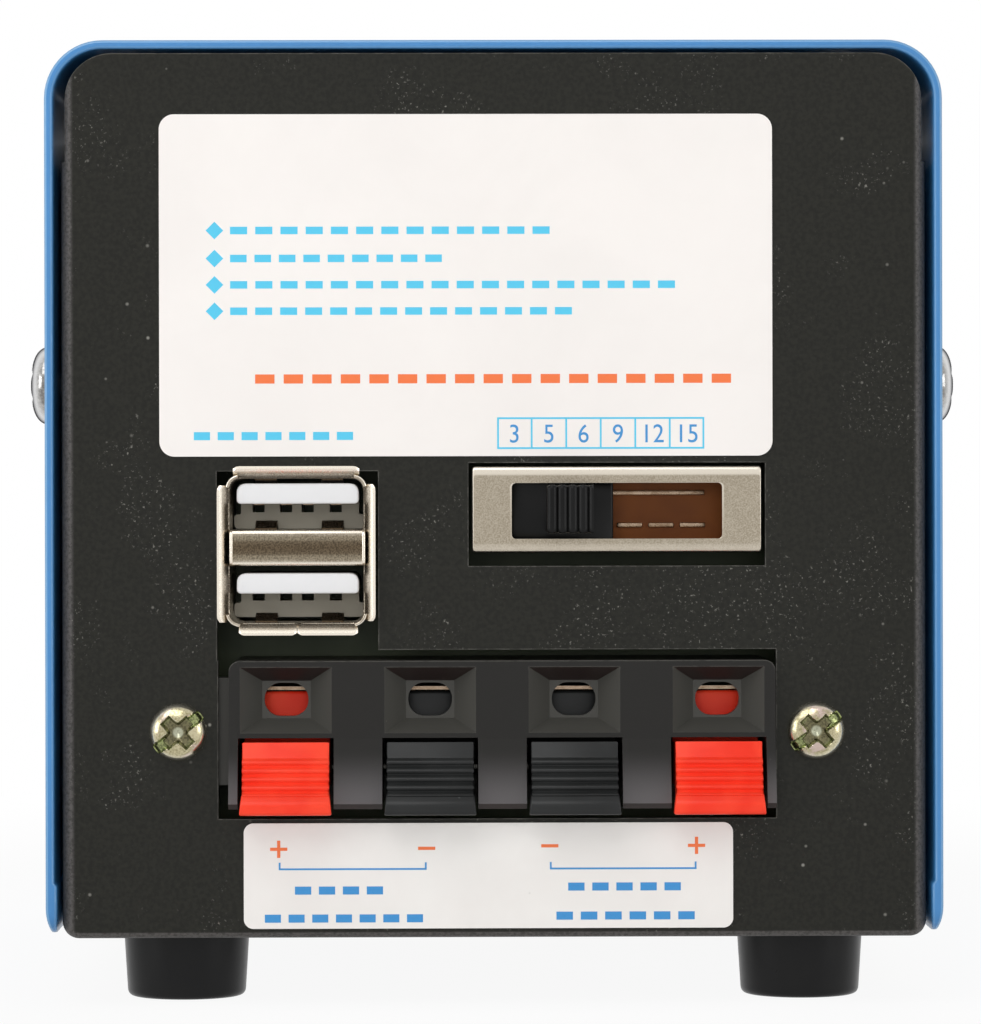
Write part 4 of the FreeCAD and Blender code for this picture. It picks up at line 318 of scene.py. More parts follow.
class Finish(Tree):
    # one material: a Principled shader with its plain values, and the groups that feed it
    def __init__(self, name, **plain):
        self.material = bpy.data.materials.new(name)
        self.material.use_nodes = True
        super().__init__(self.material.node_tree)
        self.shader = self.node("ShaderNodeBsdfPrincipled", **plain)
        self.node("ShaderNodeOutputMaterial", Surface=self.shader.outputs[0])

    def use(self, name, **values):
        return self.node("ShaderNodeGroup", node_tree=bpy.data.node_groups[name], **values).outputs

    def lay(self, under, over, mask, most=1.0):
        # over laid on under by mask, at most by most; a colour is a link or three 8-bit values
        made = self.node("ShaderNodeMix", data_type="RGBA")
        share = mask if most == 1.0 else self.times(mask, most)
        for k, source in ((0, share), (6, under), (7, over)):
            self.put(made.inputs[k], srgb(*source) if isinstance(source, (tuple, list)) else source)
        return made.outputs[2]

    def deep(self, way):
        # the points' attribute "deep": above 0 for painted shade, as in a recess; with way -1, above 0 for a
        # painted edge highlight
        return self.times(self.node("ShaderNodeAttribute", attribute_name="deep").outputs["Fac"], way)

    def turnedAway(self, low, high):
        # 0 on faces seen straight on, 1 on faces turned away
        return self.ramp(self.node("ShaderNodeLayerWeight", Blend=0.5).outputs["Facing"], low, high)

    def bump(self, height, depth, strength, below=None):
        # depth in mm
        made = self.node("ShaderNodeBump", Strength=strength, Distance=depth * mm, Height=height)
        if below is not None:
            self.put(made.inputs["Normal"], below)
        self.put(self.shader.inputs["Normal"], made.outputs[0])
        return made.outputs[0]

    def finished(self, colour, shade, spread):
        # the colour, and a roughness that rises with shade by spread, the shader's plain value in the middle
        self.put(self.shader.inputs["Base Color"], colour)
        rough = self.shader.inputs["Roughness"]
        self.put(rough, self.line(shade, spread, rough.default_value - spread / 2))
        return self.material


# the bend colour is a painted sheen on the sheet's bends; the pale edge colour is partly wear, partly painted
# highlight
panelLook = {"dark": (25, 25, 21), "pale": (34, 34, 29), "wearAndHighlight": (140, 138, 131), "dust": (160, 158, 150),
             "bend": (88, 85, 83), "grain": 0.42, "rough": 0.44, "sheen": 0.2}


def paintedPanel():
    # satin black lacquer: fine pebbles, dust, lint, painted sheen on its bends, edges pale from wear and
    # painted highlight
    c = panelLook
    f = Finish("blackLacquer", Roughness=c["rough"], Specular_IOR_Level=c["sheen"])
    grain = f.use("grain", Size=c["grain"], Softness=0.6)
    flow = f.use("flow", Wave=14.0, Scratch=0.5)
    lint = f.use("mottle", Patch=9.0, Grit=0.3)
    colour = f.lay(c["dark"], c["pale"], f.ramp(grain["Shade"], 0.3, 0.7))
    colour = f.lay(colour, c["dust"], f.use("specks", Spacing=1.9, Amount=0.3, Dot=0.085)["Mask"], 0.75)
    # lint is bright grit, only where a slow cloud is high
    grit = f.times(f.ramp(lint["Fleck"], 0.6, 0.7), f.ramp(lint["Cloud"], 0.5, 0.62))
    colour = f.lay(colour, c["dust"], grit, 0.5)
    # painted sheen: the bends between the panels and their flanges are laid paler
    flat = f.math("ABSOLUTE", f.parts(f.facing())["Y"])
    bend = f.times(f.ramp(flat, 0.9, 0.99, 1.0, 0.0), f.ramp(flat, 0.2, 0.5))
    colour = f.lay(colour, c["bend"], f.times(bend, f.ramp(lint["Fleck"], 0.35, 0.6, 0.45, 1.0)))
    # pale edges: partly wear, partly painted highlight
    colour = f.lay(colour, c["wearAndHighlight"], f.use("edgeWearAndHighlight", Radius=0.22, Break=0.5)["Mask"], 0.45)
    f.bump(grain["Height"], 0.035, 0.8, f.bump(flow["Height"], 0.05, 0.4))
    return f.finished(colour, grain["Shade"], 0.18)


# light is the colour of the painted highlight on the sheet's edges
coverLook = {"paint": (64, 132, 192), "cloud": 0.96, "light": (124, 172, 212), "dust": (190, 205, 215),
             "rough": 0.3, "coat": 0.16, "coatRough": 0.12}         # cloud is its share of the paint


def paintedCover():
    # blue gloss enamel with orange-peel waves and dust, and a painted highlight on the sheet's edges
    c = coverLook
    f = Finish("blueEnamel", Roughness=c["rough"], IOR=1.5, Coat_Weight=c["coat"],
               Coat_Roughness=c["coatRough"])
    mottle = f.use("mottle", Patch=22.0, Grit=0.6)
    cloud = [part * c["cloud"] for part in c["paint"]]
    colour = f.lay(c["paint"], cloud, f.ramp(mottle["Cloud"], 0.35, 0.65))
    # painted highlight on the sheet's edges, from the edge mask and from the points' own edge values
    colour = f.lay(colour, c["light"], f.use("edgeWearAndHighlight", Radius=0.2, Break=0.6)["Mask"], 0.5)
    colour = f.lay(colour, c["light"], f.ramp(f.deep(-1.0), 0.1, 0.9), 0.7)
    colour = f.lay(colour, c["dust"], f.use("specks", Spacing=4.0, Amount=0.1, Dot=0.05)["Mask"], 0.4)
    f.bump(f.use("grain", Size=1.1, Softness=0.9)["Height"], 0.012, 0.35)
    return f.finished(colour, mottle["Cloud"], 0.12)


# per colour of a recess, painted as its shade and light: the depths between which it comes in, and how dark
# its flecks are
recessSteps = ((0.03, 0.22, 0.72), (0.3, 0.5, 0.72), (0.6, 0.65, 0.94))


def platedMetal(name, light, dark, rough, patch, grit, stretch=1.0, stain=None, depth=0.006, fleck=0.5,
                rim=None, rimShare=1.0, outline=None, recess=(), grazing=(255, 255, 255)):
    # plated steel: cloudy colour, gritty roughness, fine pits, a brighter painted sheen on faces turned away
    f = Finish(name, Metallic=1.0, Roughness=rough, Specular_Tint=srgb(*grazing))
    rim = rim or [min(255, c * 1.12 + 12) for c in light]
    mottle = f.use("mottle", Patch=patch, Grit=grit, Stretch=stretch)
    share = f.line(mottle["Cloud"], 1 - fleck, f.times(mottle["Fleck"], fleck))
    colour = f.lay(light, dark, f.ramp(share, 0.36, 0.64))
    if stain:
        colour = f.lay(colour, stain, f.ramp(mottle["Cloud"], 0.5, 0.68))
    # painted sheen: the rim colour on faces turned away
    colour = f.lay(colour, rim, f.turnedAway(0.1, 0.62), rimShare)
    # edges: painted highlight in the rim colour, partly wear
    colour = f.lay(colour, rim, f.use("edgeWearAndHighlight", Radius=0.12, Break=0.5)["Mask"], 0.45)
    # a dark painted edge where the faces turn furthest away
    if outline:
        colour = f.lay(colour, outline, f.turnedAway(0.72, 0.92))
    # painted shade and light in recesses, one colour for each depth
    for (low, high, even), shade in zip(recessSteps, recess):
        flecked = f.lay(shade, [c * even for c in shade], f.ramp(mottle["Fleck"], 0.44, 0.6))
        colour = f.lay(colour, flecked, f.ramp(f.deep(1.0), low, high))
    # painted highlight where "deep" is below 0
    colour = f.lay(colour, rim, f.ramp(f.deep(-1.0), 0.1, 0.9))
    f.bump(mottle["Fleck"], depth, 0.6)
    return f.finished(colour, mottle["Fleck"], 0.22)


def mouldedPlastic(name, colour, rough, second, size, depth, coat=0.0, dust=0.06, scatter=0.0, sheen=0.5):
    # moulded plastic: faint flow marks, fine grain, hair scratches and a little dust
    f = Finish(name, Roughness=rough, Specular_IOR_Level=sheen, Coat_Weight=coat, Subsurface_Weight=scatter)
    if coat:
        f.shader.inputs["Coat Roughness"].default_value = 0.2
    if scatter:
        f.shader.inputs["Subsurface Radius"].default_value = (0.6 * mm, 0.25 * mm, 0.2 * mm)
        f.shader.inputs["Subsurface Scale"].default_value = 1.0
    grain = f.use("grain", Size=size, Softness=0.7)
    flow = f.use("flow", Wave=5.0, Scratch=0.25)
    tint = f.lay(colour, second, f.ramp(flow["Height"], 0.35, 0.65))
    tint = f.lay(tint, [min(255, c + 60) for c in colour], flow["Scratches"], 0.06)
    tint = f.lay(tint, [min(255, c * 0.6 + 110) for c in colour],
                 f.use("specks", Spacing=1.7, Amount=dust, Dot=0.07)["Mask"], 0.5)
    f.bump(grain["Height"], depth, 0.5, f.bump(flow["Height"], 0.03, 0.25))
    return f.finished(tint, f.math("ADD", flow["Scratches"], grain["Shade"]), 0.1)


blockLook = {
    # foot, slope and roof are painted light and shade; the pale edge colour is partly wear, partly painted
    # highlight
    "face": (31, 30, 28), "foot": (90, 87, 88), "slope": (70, 69, 65), "roof": (46, 38, 36),
    "wearAndHighlight": (118, 116, 110), "scratch": (110, 108, 104), "dust": (140, 138, 132),
    "rough": 0.34, "sheen": 0.22,
    "footTo": (18.8, 24.2),         # heights between which the foot's painted light fades out, mm
    "stepBack": (0.7, 1.4),         # behind the panel's front, where what stands back gets the slopes' painted sheen
    "rimAbove": (31.3, 31.7), "rimBeside": (32.9, 33.2),    # the pale edge, partly wear and partly painted highlight, is kept to the block's rim
}


def blockPlastic():
    # black plastic: painted light makes the face paler towards its foot, gives slopes that face up or
    # sideways and faces behind the panel's front a paler painted sheen, and gives faces that face down a
    # brownish painted shade
    c = blockLook
    f = Finish("blockPlastic", Roughness=c["rough"], Specular_IOR_Level=c["sheen"])
    grain = f.use("grain", Size=0.3, Softness=0.7)
    flow = f.use("flow", Wave=5.0, Scratch=0.25)
    place, facing = f.parts(f.place()), f.parts(f.facing())

    def step(source, name, *ends):
        return f.ramp(source, *[limit * mm for limit in c[name]], *ends)

    # painted light: paler towards the foot
    colour = f.lay(c["face"], c["foot"], step(place["Z"], "footTo", 1.0, 0.0))
    # painted sheen on slopes that face up or sideways, and on faces behind the panel's front
    up = f.math("MAXIMUM", facing["Z"], f.math("ABSOLUTE", facing["X"]))
    colour = f.lay(colour, c["slope"], f.ramp(up, 0.2, 0.6))
    colour = f.lay(colour, c["slope"], step(f.math("SUBTRACT", place["Y"], panelFront * mm), "stepBack"))
    # painted shade, brownish, on faces turned down
    colour = f.lay(colour, c["roof"], f.ramp(f.times(facing["Z"], -1.0), 0.2, 0.6))
    # pale rim edges: partly wear, partly painted highlight
    rim = f.math("MAXIMUM", step(place["Z"], "rimAbove"), step(f.math("ABSOLUTE", place["X"]), "rimBeside"))
    wearAndHighlight = f.times(f.use("edgeWearAndHighlight", Radius=0.2, Break=0.45)["Mask"], rim)
    colour = f.lay(colour, c["wearAndHighlight"], wearAndHighlight, 0.5)
    colour = f.lay(colour, c["scratch"], flow["Scratches"], 0.06)
    colour = f.lay(colour, c["dust"], f.use("specks", Spacing=1.7, Amount=0.08, Dot=0.07)["Mask"], 0.5)
    f.bump(grain["Height"], 0.008, 0.5, f.bump(flow["Height"], 0.03, 0.25))
    return f.finished(colour, grain["Shade"], 0.1)


def printedFilm(name, colour, edge):
    # matt plastic film with a faint cloud and dust
    f = Finish(name, Roughness=0.42)
    mottle = f.use("mottle", Patch=16.0, Grit=0.5)
    tint = f.lay(colour, edge, f.ramp(mottle["Cloud"], 0.3, 0.7))
    tint = f.lay(tint, (120, 118, 112), f.use("specks", Spacing=3.2, Amount=0.07, Dot=0.04)["Mask"], 0.35)
    f.bump(mottle["Cloud"], 0.02, 0.25)
    return f.finished(tint, mottle["Fleck"], 0.1)


def ink(name, colour):
    # screen ink, a little uneven
    f = Finish(name, Roughness=0.4)
    mottle = f.use("mottle", Patch=1.4, Grit=0.18)
    tint = f.lay(colour, [c * 0.93 + 12 for c in colour], f.ramp(mottle["Fleck"], 0.35, 0.75))
    return f.finished(tint, mottle["Cloud"], 0.1)


finishes = {
    "chassis_paint": paintedPanel(),
    "cover_paint": paintedCover(),
    "label_upper": printedFilm("labelFilm", (244, 239, 235), (240, 235, 231)),
    "label_lower": printedFilm("stripFilm", (243, 240, 236), (237, 233, 229)),
    "block_plastic": blockPlastic(),
}
for slot, settings in {
    # name, colour, roughness, second colour, size of the grain, its depth
    "rubber": ("blackRubber", (22, 22, 22), 0.3, (17, 17, 18), 0.8, 0.01, {"dust": 0.45, "sheen": 0.2}),
    "red_lever": ("redPlastic", (252, 72, 46), 0.34, (242, 54, 32), 0.3, 0.006,
                  {"dust": 0.05, "scatter": 0.1, "sheen": 0.25}),
    "black_lever": ("blackPlasticLever", (36, 37, 37), 0.32, (29, 30, 30), 0.3, 0.006,
                    {"dust": 0.05, "sheen": 0.25}),
    "white_plastic": ("whitePlastic", (232, 232, 230), 0.4, (224, 224, 222), 0.3, 0.004, {"dust": 0.03}),
    "brown_board": ("brownLaminate", (120, 67, 26), 0.42, (104, 56, 22), 0.2, 0.004,
                    {"dust": 0.04, "sheen": 0.2}),
    "black_plastic": ("sliderPlastic", (20, 20, 20), 0.32, (15, 15, 15), 0.25, 0.006,
                      {"dust": 0.04, "sheen": 0.14}),
    "green_board": ("greenLaminate", (74, 82, 62), 0.3, (66, 74, 55), 0.3, 0.004,
                    {"dust": 0.05, "sheen": 0.2}),
    "capacitor_sleeve": ("sleeveFilm", (28, 32, 52), 0.3, (22, 26, 44), 0.4, 0.004, {"coat": 0.3}),
    "ferrite": ("ferrite", (52, 66, 50), 0.6, (44, 56, 42), 0.5, 0.02, {}),
    "acetal": ("whiteAcetal", (222, 220, 210), 0.36, (214, 212, 202), 0.3, 0.004, {"scatter": 0.1}),
    "grip_plastic": ("gripPlastic", (28, 28, 29), 0.5, (22, 22, 23), 0.45, 0.02,
                     {"dust": 0.1, "sheen": 0.25}),
}.items():
    finishes[slot] = mouldedPlastic(*settings[:-1], **settings[-1])
for slot, settings in {
    # name, light and dark colour, roughness, size of the patches and of the grit
    "chrome_steel": ("chromedSteel", (176, 175, 172), (120, 118, 116), 0.16, 2.0, 0.3,
                     # rim is a painted sheen, outline a dark painted edge, recess painted shade and light in
                     # the head's cross
                     {"rim": (240, 240, 240), "outline": (92, 92, 96), "grazing": (72, 72, 76),
                      "recess": ((120, 120, 120), (56, 56, 56), (110, 110, 110))}),
    "yellow_zinc": ("yellowZinc", (198, 189, 156), (140, 132, 94), 0.2, 1.6, 0.2,
                    # the stain is the zinc's own tint; rim is a painted sheen, recess painted shade and light
                    # in the cross and slot
                    {"stain": (200, 180, 170), "rim": (240, 235, 220),
                     "recess": ((150, 158, 108), (116, 111, 84), (176, 177, 154))}),
    "bright_zinc": ("brightZinc", (168, 168, 166), (120, 120, 120), 0.28, 3.0, 0.22,
                    {"rim": (226, 226, 224)}),
    "tinned_brass": ("tinnedBrass", (186, 164, 142), (132, 108, 86), 0.3, 1.2, 0.12,
                     {"rim": (226, 208, 184)}),
    "spring_steel": ("springSteel", (170, 168, 162), (120, 118, 112), 0.3, 3.0, 0.22, {}),
    "nickel_shell": ("nickelPlate", (176, 166, 149), (124, 111, 94), 0.28, 2.4, 0.16,
                     # rim is a painted sheen; recess is painted shade on the divider's middle and on the
                     # spring fingers in the port
                     {"fleck": 0.62, "rim": (240, 231, 216), "rimShare": 0.35,
                      "recess": ((150, 138, 118), (104, 90, 72), (88, 74, 58))}),
    "aluminium": ("rolledAluminium", (196, 197, 198), (160, 161, 163), 0.34, 3.0, 0.3, {"stretch": 0.15}),
    "steel_gear": ("cutSteel", (176, 172, 166), (128, 124, 118), 0.3, 4.0, 0.3, {}),
    "bronze": ("sinteredBronze", (170, 122, 72), (120, 82, 46), 0.38, 1.0, 0.2, {"depth": 0.012}),
    "plated_can": ("zincedCan", (186, 186, 182), (142, 142, 140), 0.3, 6.0, 0.4, {}),
    "laminations": ("siliconSteel", (120, 118, 116), (84, 82, 80), 0.42, 2.0, 0.2, {}),
    "copper": ("enamelledCopper", (190, 96, 48), (140, 62, 28), 0.32, 1.0, 0.2, {"stretch": 4.0}),
}.items():
    finishes[slot] = platedMetal(*settings[:-1], **settings[-1])
# for the switch frame: its rim colour is the painted highlight on the frame's bends
satinNickel = platedMetal("satinNickel", (184, 174, 157), (152, 141, 123), 0.3, 2.4, 0.13,
                          fleck=0.85, depth=0.004, rim=(222, 213, 198))
inks = {"cyan": ink("cyanInk", (84, 200, 236)), "orange": ink("orangeInk", (242, 118, 62)),
        "blue": ink("blueInk", (58, 143, 207))}
slotOf = {part["node"]: part["material_slot"] for part in frame["record"]["subparts"]}
bodyOf = {node: body for body, held in frame["record"]["behaviour"]["bodies"].items() for node in held}
for name, node in nodes.items():
    node.data.materials.clear()
    node.data.materials.append(finishes[slotOf[name]])
print("finishes are made")


# shapes: a shell is (points in mm, quads, caps), and where its finish asks for it each point's "deep"; a
# piece is one mesh of one or more closed shells

def tube(rings, closed=False):
    # rings[i, j] is point j of closed loop i, a quad lying between it and its neighbours in loop i + 1; the
    # first and last loops are capped unless the rows close too
    rows, columns = rings.shape[:2]
    r, c = np.meshgrid(np.arange(rows if closed else rows - 1), np.arange(columns), indexing="ij")
    here, after, right = r * columns, (r + 1) % rows * columns, (c + 1) % columns
    quads = np.stack([here + c, here + right, after + right, after + c], axis=-1)
    caps = [] if closed else [np.arange(columns)[::-1], np.arange(columns) + (rows - 1) * columns]
    return rings.reshape(-1, 3), quads.reshape(-1, 4), caps


def softOutline(corners, reach, steps=5):
    # each corner P of a closed outline becomes (1-s)^2 A + 2s(1-s) P + s^2 B, A and B lying its reach
    # before and after it
    p = np.asarray(corners, float)
    before, after = np.roll(p, 1, axis=0) - p, np.roll(p, -1, axis=0) - p
    beforeLong = np.linalg.norm(before, axis=1)[:, None]
    afterLong = np.linalg.norm(after, axis=1)[:, None]
    cut = np.minimum(np.broadcast_to(np.asarray(reach, float), len(p))[:, None],
                     0.499 * np.minimum(beforeLong, afterLong))
    a, b = (p + before / beforeLong * cut)[:, None], (p + after / afterLong * cut)[:, None]
    s = np.linspace(0, 1, steps + 1)[None, :, None]
    return ((1 - s) ** 2 * a + 2 * s * (1 - s) * p[:, None] + s ** 2 * b).reshape(-1, 2)


def box4(x0, z0, x1, z1):
    # a rectangle's corners
    return np.array([(x0, z0), (x1, z0), (x1, z1), (x0, z1)], float)


def inset(outline, distance):
    # moves each point of a closed outline inwards, square to the line between its two neighbours
    along = np.roll(outline, -1, axis=0) - np.roll(outline, 1, axis=0)
    along /= np.maximum(np.linalg.norm(along, axis=1)[:, None], 1e-9)
    turn = np.sum(outline[:, 0] * np.roll(outline[:, 1], -1) - outline[:, 1] * np.roll(outline[:, 0], -1))
    inwards = np.stack([-along[:, 1], along[:, 0]], axis=1) * np.sign(turn)
    return outline + inwards * distance


def carried(outline, axis, steps):
    # an outline across an axis, one ring for each step: (place along the axis, how far it is inset there)
    return tube(np.array([np.insert(inset(outline, distance), "XYZ".index(axis), place, axis=1)
                          for place, distance in steps]))


def edged(low, high, edge):
    # steps along a straight run whose two ends are rounded by edge
    quarter = edge * (1 - np.cos(np.linspace(0, np.pi / 2, 4)))
    drop = edge * (1 - np.sin(np.linspace(0, np.pi / 2, 4)))
    return list(zip(low + quarter, drop)) + list(zip(high - quarter[::-1], drop[::-1]))


def turned(profile, axis, centre, columns=72, closed=False):
    # (place, radius) along an axis, turned round it: centre + radius (cos a, sin a)
    place, radius = np.asarray(profile, float).T
    angle = np.linspace(0, 2 * np.pi, columns, endpoint=False)
    across, up = radius[:, None] * np.cos(angle), radius[:, None] * np.sin(angle)
    rings = np.stack([across + centre[0], up + centre[1]], axis=-1)
    return tube(np.insert(rings, "XYZ".index(axis), place[:, None], axis=2), closed)


def evenly(outline, count):
    # points at even steps along a closed outline
    closed = np.vstack([outline, outline[:1]])
    along = np.concatenate([[0], np.cumsum(np.linalg.norm(np.diff(closed, axis=0), axis=1))])
    steps = np.linspace(0, along[-1], count, endpoint=False)
    return np.stack([np.interp(steps, along, closed[:, k]) for k in (0, 1)], axis=1)


def shaded(shell, deep):
    # the shell with one value of "deep" for all its points
    return *shell, np.full(len(shell[0]), deep)


def settle(name, data, node, replaced, finish):
    # the piece moves, and is repainted, with the CAD node that it belongs to
    piece = bpy.data.objects.new(name, data)
    scene.collection.objects.link(piece)
    data.shade_smooth()
    data.materials.clear()
    data.materials.append(finish or finishes[slotOf[node]])
    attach(piece, bodyOf[node])
    if replaced:
        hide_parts(*replaced)
    return piece


def makePiece(name, shells, node, replaced=None, finish=None, sharp=38):
    # one mesh of the shells, in place of its own node unless replaced says otherwise
    points, polygons, deep, count = [], [], [], 0
    for place, quads, caps, *shade in shells:
        points.append(place)
        polygons += (quads + count).tolist() + [(cap + count).tolist() for cap in caps]
        deep += shade
        count += len(place)
    data = bpy.data.meshes.new(name)
    data.from_pydata(np.concatenate(points) * mm, [], polygons)
    if deep:
        data.attributes.new("deep", "FLOAT", "POINT").data.foreach_set("value", np.concatenate(deep))
    form = bmesh.new()
    form.from_mesh(data)
    bmesh.ops.remove_doubles(form, verts=form.verts, dist=2e-7)
    bmesh.ops.dissolve_degenerate(form, edges=form.edges, dist=1e-7)
    bmesh.ops.recalc_face_normals(form, faces=form.faces)
    form.to_mesh(data)
    form.free()
    settle(name, data, node, (node,) if replaced is None else replaced, finish)
    data.set_sharp_from_angle(angle=math.radians(sharp))


dressing = {"flat": 0.6, "sharp": 30.0}     # degrees: faces this flat are joined, edges this sharp rounded


def dressed(node, edge, segments=2):
    # a merged copy of a CAD node, its flat faces joined and its edges rounded by edge mm
    form = bmesh.new()
    form.from_mesh(nodes[node].data)
    bmesh.ops.remove_doubles(form, verts=form.verts, dist=1e-6)
    flat = math.radians(dressing["flat"])
    bmesh.ops.dissolve_limit(form, angle_limit=flat, verts=form.verts, edges=form.edges)
    data = bpy.data.meshes.new(node + "Dressed")
    form.to_mesh(data)
    form.free()
    for label in ("custom_normal", "sharp_edge", "sharp_face"):
        if label in data.attributes:
            data.attributes.remove(data.attributes[label])
    piece = settle(node + "Dressed", data, node, (node,), None)
    rounder = piece.modifiers.new("roundEdges", "BEVEL")
    rounder.width = edge * mm
    rounder.segments = segments
    rounder.limit_method = "ANGLE"
    rounder.angle_limit = math.radians(dressing["sharp"])
    rounder.harden_normals = True
    rounder.use_clamp_overlap = True


# cover

coverShape = {
    "sheet": 0.8, "corner": 5.4, "endCorner": 2.0,
    "edge": 0.3,        # rounding of the painted sheet's edges
    "hem": 4.7, "hemThick": 0.25,           # height of the thicker lower end, and how much thicker it is
    "tip": 2.4, "tipIn": (0.5, 0.12),       # the last of it thins out, by so much outside and inside
    # the pale values on the sheet's outer and inner front edges are a painted highlight
    "wearAndHighlight": (-1.0, -0.45),                  # "deep" on its outer and inner edges
}


def coverShell():
    # the path is a U: side, quarter circle, top and the same back down, mirrored in x. Round its sheet runs
    # the loop (n, y): n from 0 on the outer face to -thickness, y from one end to the other, a quarter
    # circle at each corner. Near its lower edge the sheet ends at y0 + R - sqrt(R^2 - (R - h)^2), h being
    # the height above it.
    c = coverShape
    low, high = nodeBox("cover")
    half, r, endRound, e = high[0], c["corner"], c["endCorner"], c["edge"]
    rise = np.concatenate([endRound * (1 - np.cos(np.linspace(0, np.pi / 2, 9))),
                           [c["tip"], c["hem"] - 0.3, c["hem"]], np.linspace(8, high[2] - low[2] - r, 14)])
    bend = np.linspace(0, np.pi / 2, 14)[1:]
    top = np.linspace(half - r, 0, 10)[1:]
    x = np.concatenate([np.full(len(rise), half), half - r + r * np.cos(bend), top])
    z = np.concatenate([low[2] + rise, high[2] - r + r * np.sin(bend), np.full(len(top), high[2])])
    nx = np.concatenate([np.ones(len(rise)), np.cos(bend), np.zeros(len(top))])
    nz = np.concatenate([np.zeros(len(rise)), np.sin(bend), np.ones(len(top))])
    x, nx = np.concatenate([x, -x[-2::-1]]), np.concatenate([nx, -nx[-2::-1]])
    z, nz = np.concatenate([z, z[-2::-1]]), np.concatenate([nz, nz[-2::-1]])
    height = z - low[2]
    over = np.clip(endRound - height, 0, endRound)
    shorter = (endRound - np.sqrt(endRound ** 2 - over ** 2))[:, None]
    thick = (c["sheet"] + c["hemThick"] * (height < c["hem"] - 0.1))[:, None]
    quarter = np.linspace(0, np.pi / 2, 5)
    a, b = e * (1 - np.sin(quarter)), e * (1 - np.cos(quarter))
    drop, step = np.concatenate([a, b, a, b]), np.concatenate([b, a, b, a])
    inner, atBack = np.repeat([False, False, True, True], 5), np.repeat([False, True, True, False], 5)
    tip = np.clip(1 - height / c["tip"], 0, 1)[:, None] ** 2
    n = np.where(inner, drop - thick + c["tipIn"][1] * tip, -drop - c["tipIn"][0] * tip)
    y = np.where(atBack, high[1] - shorter - step, low[1] + shorter + step)
    rings = np.stack([x[:, None] + nx[:, None] * n, y, z[:, None] + nz[:, None] * n], axis=-1)
    # painted highlight on the sheet's outer and inner front edges
    wearAndHighlight = np.where(inner, c["wearAndHighlight"][1], c["wearAndHighlight"][0]) * (np.hypot(drop, step) < 0.9 * e)
    return *tube(rings), np.broadcast_to(wearAndHighlight, rings.shape[:2]).ravel()


makePiece("coverSheet", [coverShell()], "cover", sharp=60)
print("cover is made")


# feet

footShape = {"topRadius": 6.0, "bottomRadius": 5.6, "edge": 0.7, "topEdge": 0.25,
             "recess": 3.5, "recessDeep": 3.2, "recessEdge": 0.3}


def footShell(name):
    # profile (height, radius) with its corners rounded, turned round the foot's own axis
    c = footShape
    low, high = nodeBox(name)
    profile = [(c["recessDeep"], 0.0), (c["recessDeep"], c["recess"]), (0, c["recess"]),
               (0, c["bottomRadius"]), (high[2], c["topRadius"]), (high[2], 0.0)]
    soft = [0, c["recessEdge"], c["recessEdge"], c["edge"], c["topEdge"], 0]
    return turned(softOutline(profile, soft, 6), "Z", ((low + high) / 2)[:2])


footNodes = [name for name in nodes if name.startswith("foot_") and name.count("_") == 2]
makePiece("feet", [footShell(name) for name in footNodes], footNodes[0], footNodes, sharp=50)


# screws

screwShape = {
    "dome": 2.8,            # power of the head's outline: the higher, the flatter its top
    # shares of the head's radius: soft for the recess's upper edge, crossRound for its inner corners
    "crossWide": 0.36, "crossLong": 0.6, "crossRound": 0.07, "slotWide": 0.34, "soft": 0.07,
    "crossDeep": 0.72, "slotDeep": 0.34, "least": 0.12,     # shares of its height
    "floorRise": 0.45,      # share of the cross's depth lost at its arms' ends
    "point": 0.4,           # bevel of the thread's end, mm
    "rows": 44, "columns": 144,
}


def screwShell(centre, facing, radius, high, thread, length, crossTurn, slotTurn):
    # polar grid: height(r, a) = high (1 - (r/R)^p)^(1/p) - recess(r, a), the recess being the deeper of a
    # cross, whose floor rises outwards, and a slot. The distances d, e inside the cross's two bars are
    # joined as k log(exp d/k + exp e/k). Then the rim, the head's underside and the thread.
    c = screwShape
    share = np.linspace(0, 1, c["rows"])[:, None] ** 0.85
    angle = np.linspace(0, 2 * np.pi, c["columns"], endpoint=False)[None, :]
    crown = (1 - np.clip(share * 0.995, 0, 1) ** c["dome"]) ** (1 / c["dome"]) * np.ones_like(angle)
    turn = angle - math.radians(crossTurn)
    x, y = np.abs(share * np.cos(turn)), np.abs(share * np.sin(turn))
    half, k = c["crossWide"] / 2, c["crossRound"]
    inside = k * np.logaddexp(np.minimum(half - y, c["crossLong"] - x) / k,
                              np.minimum(half - x, c["crossLong"] - y) / k)
    floor = c["crossDeep"] * (1 - c["floorRise"] * share / c["crossLong"])
    recess = np.clip(inside / c["soft"] + 0.5, 0, 1) * floor
    if slotTurn is not None:
        across = np.abs(share * np.sin(angle - math.radians(slotTurn)))
        slot = np.clip((c["slotWide"] / 2 - across) / c["soft"] + 0.5, 0, 1) * c["slotDeep"]
        recess = np.maximum(recess, slot)
    height = high * np.maximum(crown - recess, c["least"])
    r = share * radius * np.ones_like(angle)
    point = c["point"]
    below = np.array([(radius, 0.0), (thread, 0.0), (thread, point - length), (thread - point, -length),
                      (0.0, -length)])
    r = np.concatenate([r, below[:, :1] * np.ones_like(angle)])
    height = np.concatenate([height, below[:, 1:] * np.ones_like(angle)])
    # up and right as seen by someone looking at the head
    out = np.eye(3)["XYZ".index(facing[-1])] * (-1 if facing[0] == "-" else 1)
    up = np.eye(3)[1 if facing[-1] == "Z" else 2]
    right = np.cross(up, out)
    spoke = np.cos(angle)[..., None] * right + np.sin(angle)[..., None] * up
    rings = r[..., None] * spoke + height[..., None] * out
    # the recess's depth is kept as "deep", by which the finish paints shade and light into the cross and slot
    deep = np.concatenate([recess, np.zeros((len(below), recess.shape[1]))])
    return *tube(rings + np.asarray(centre)), deep.ravel()


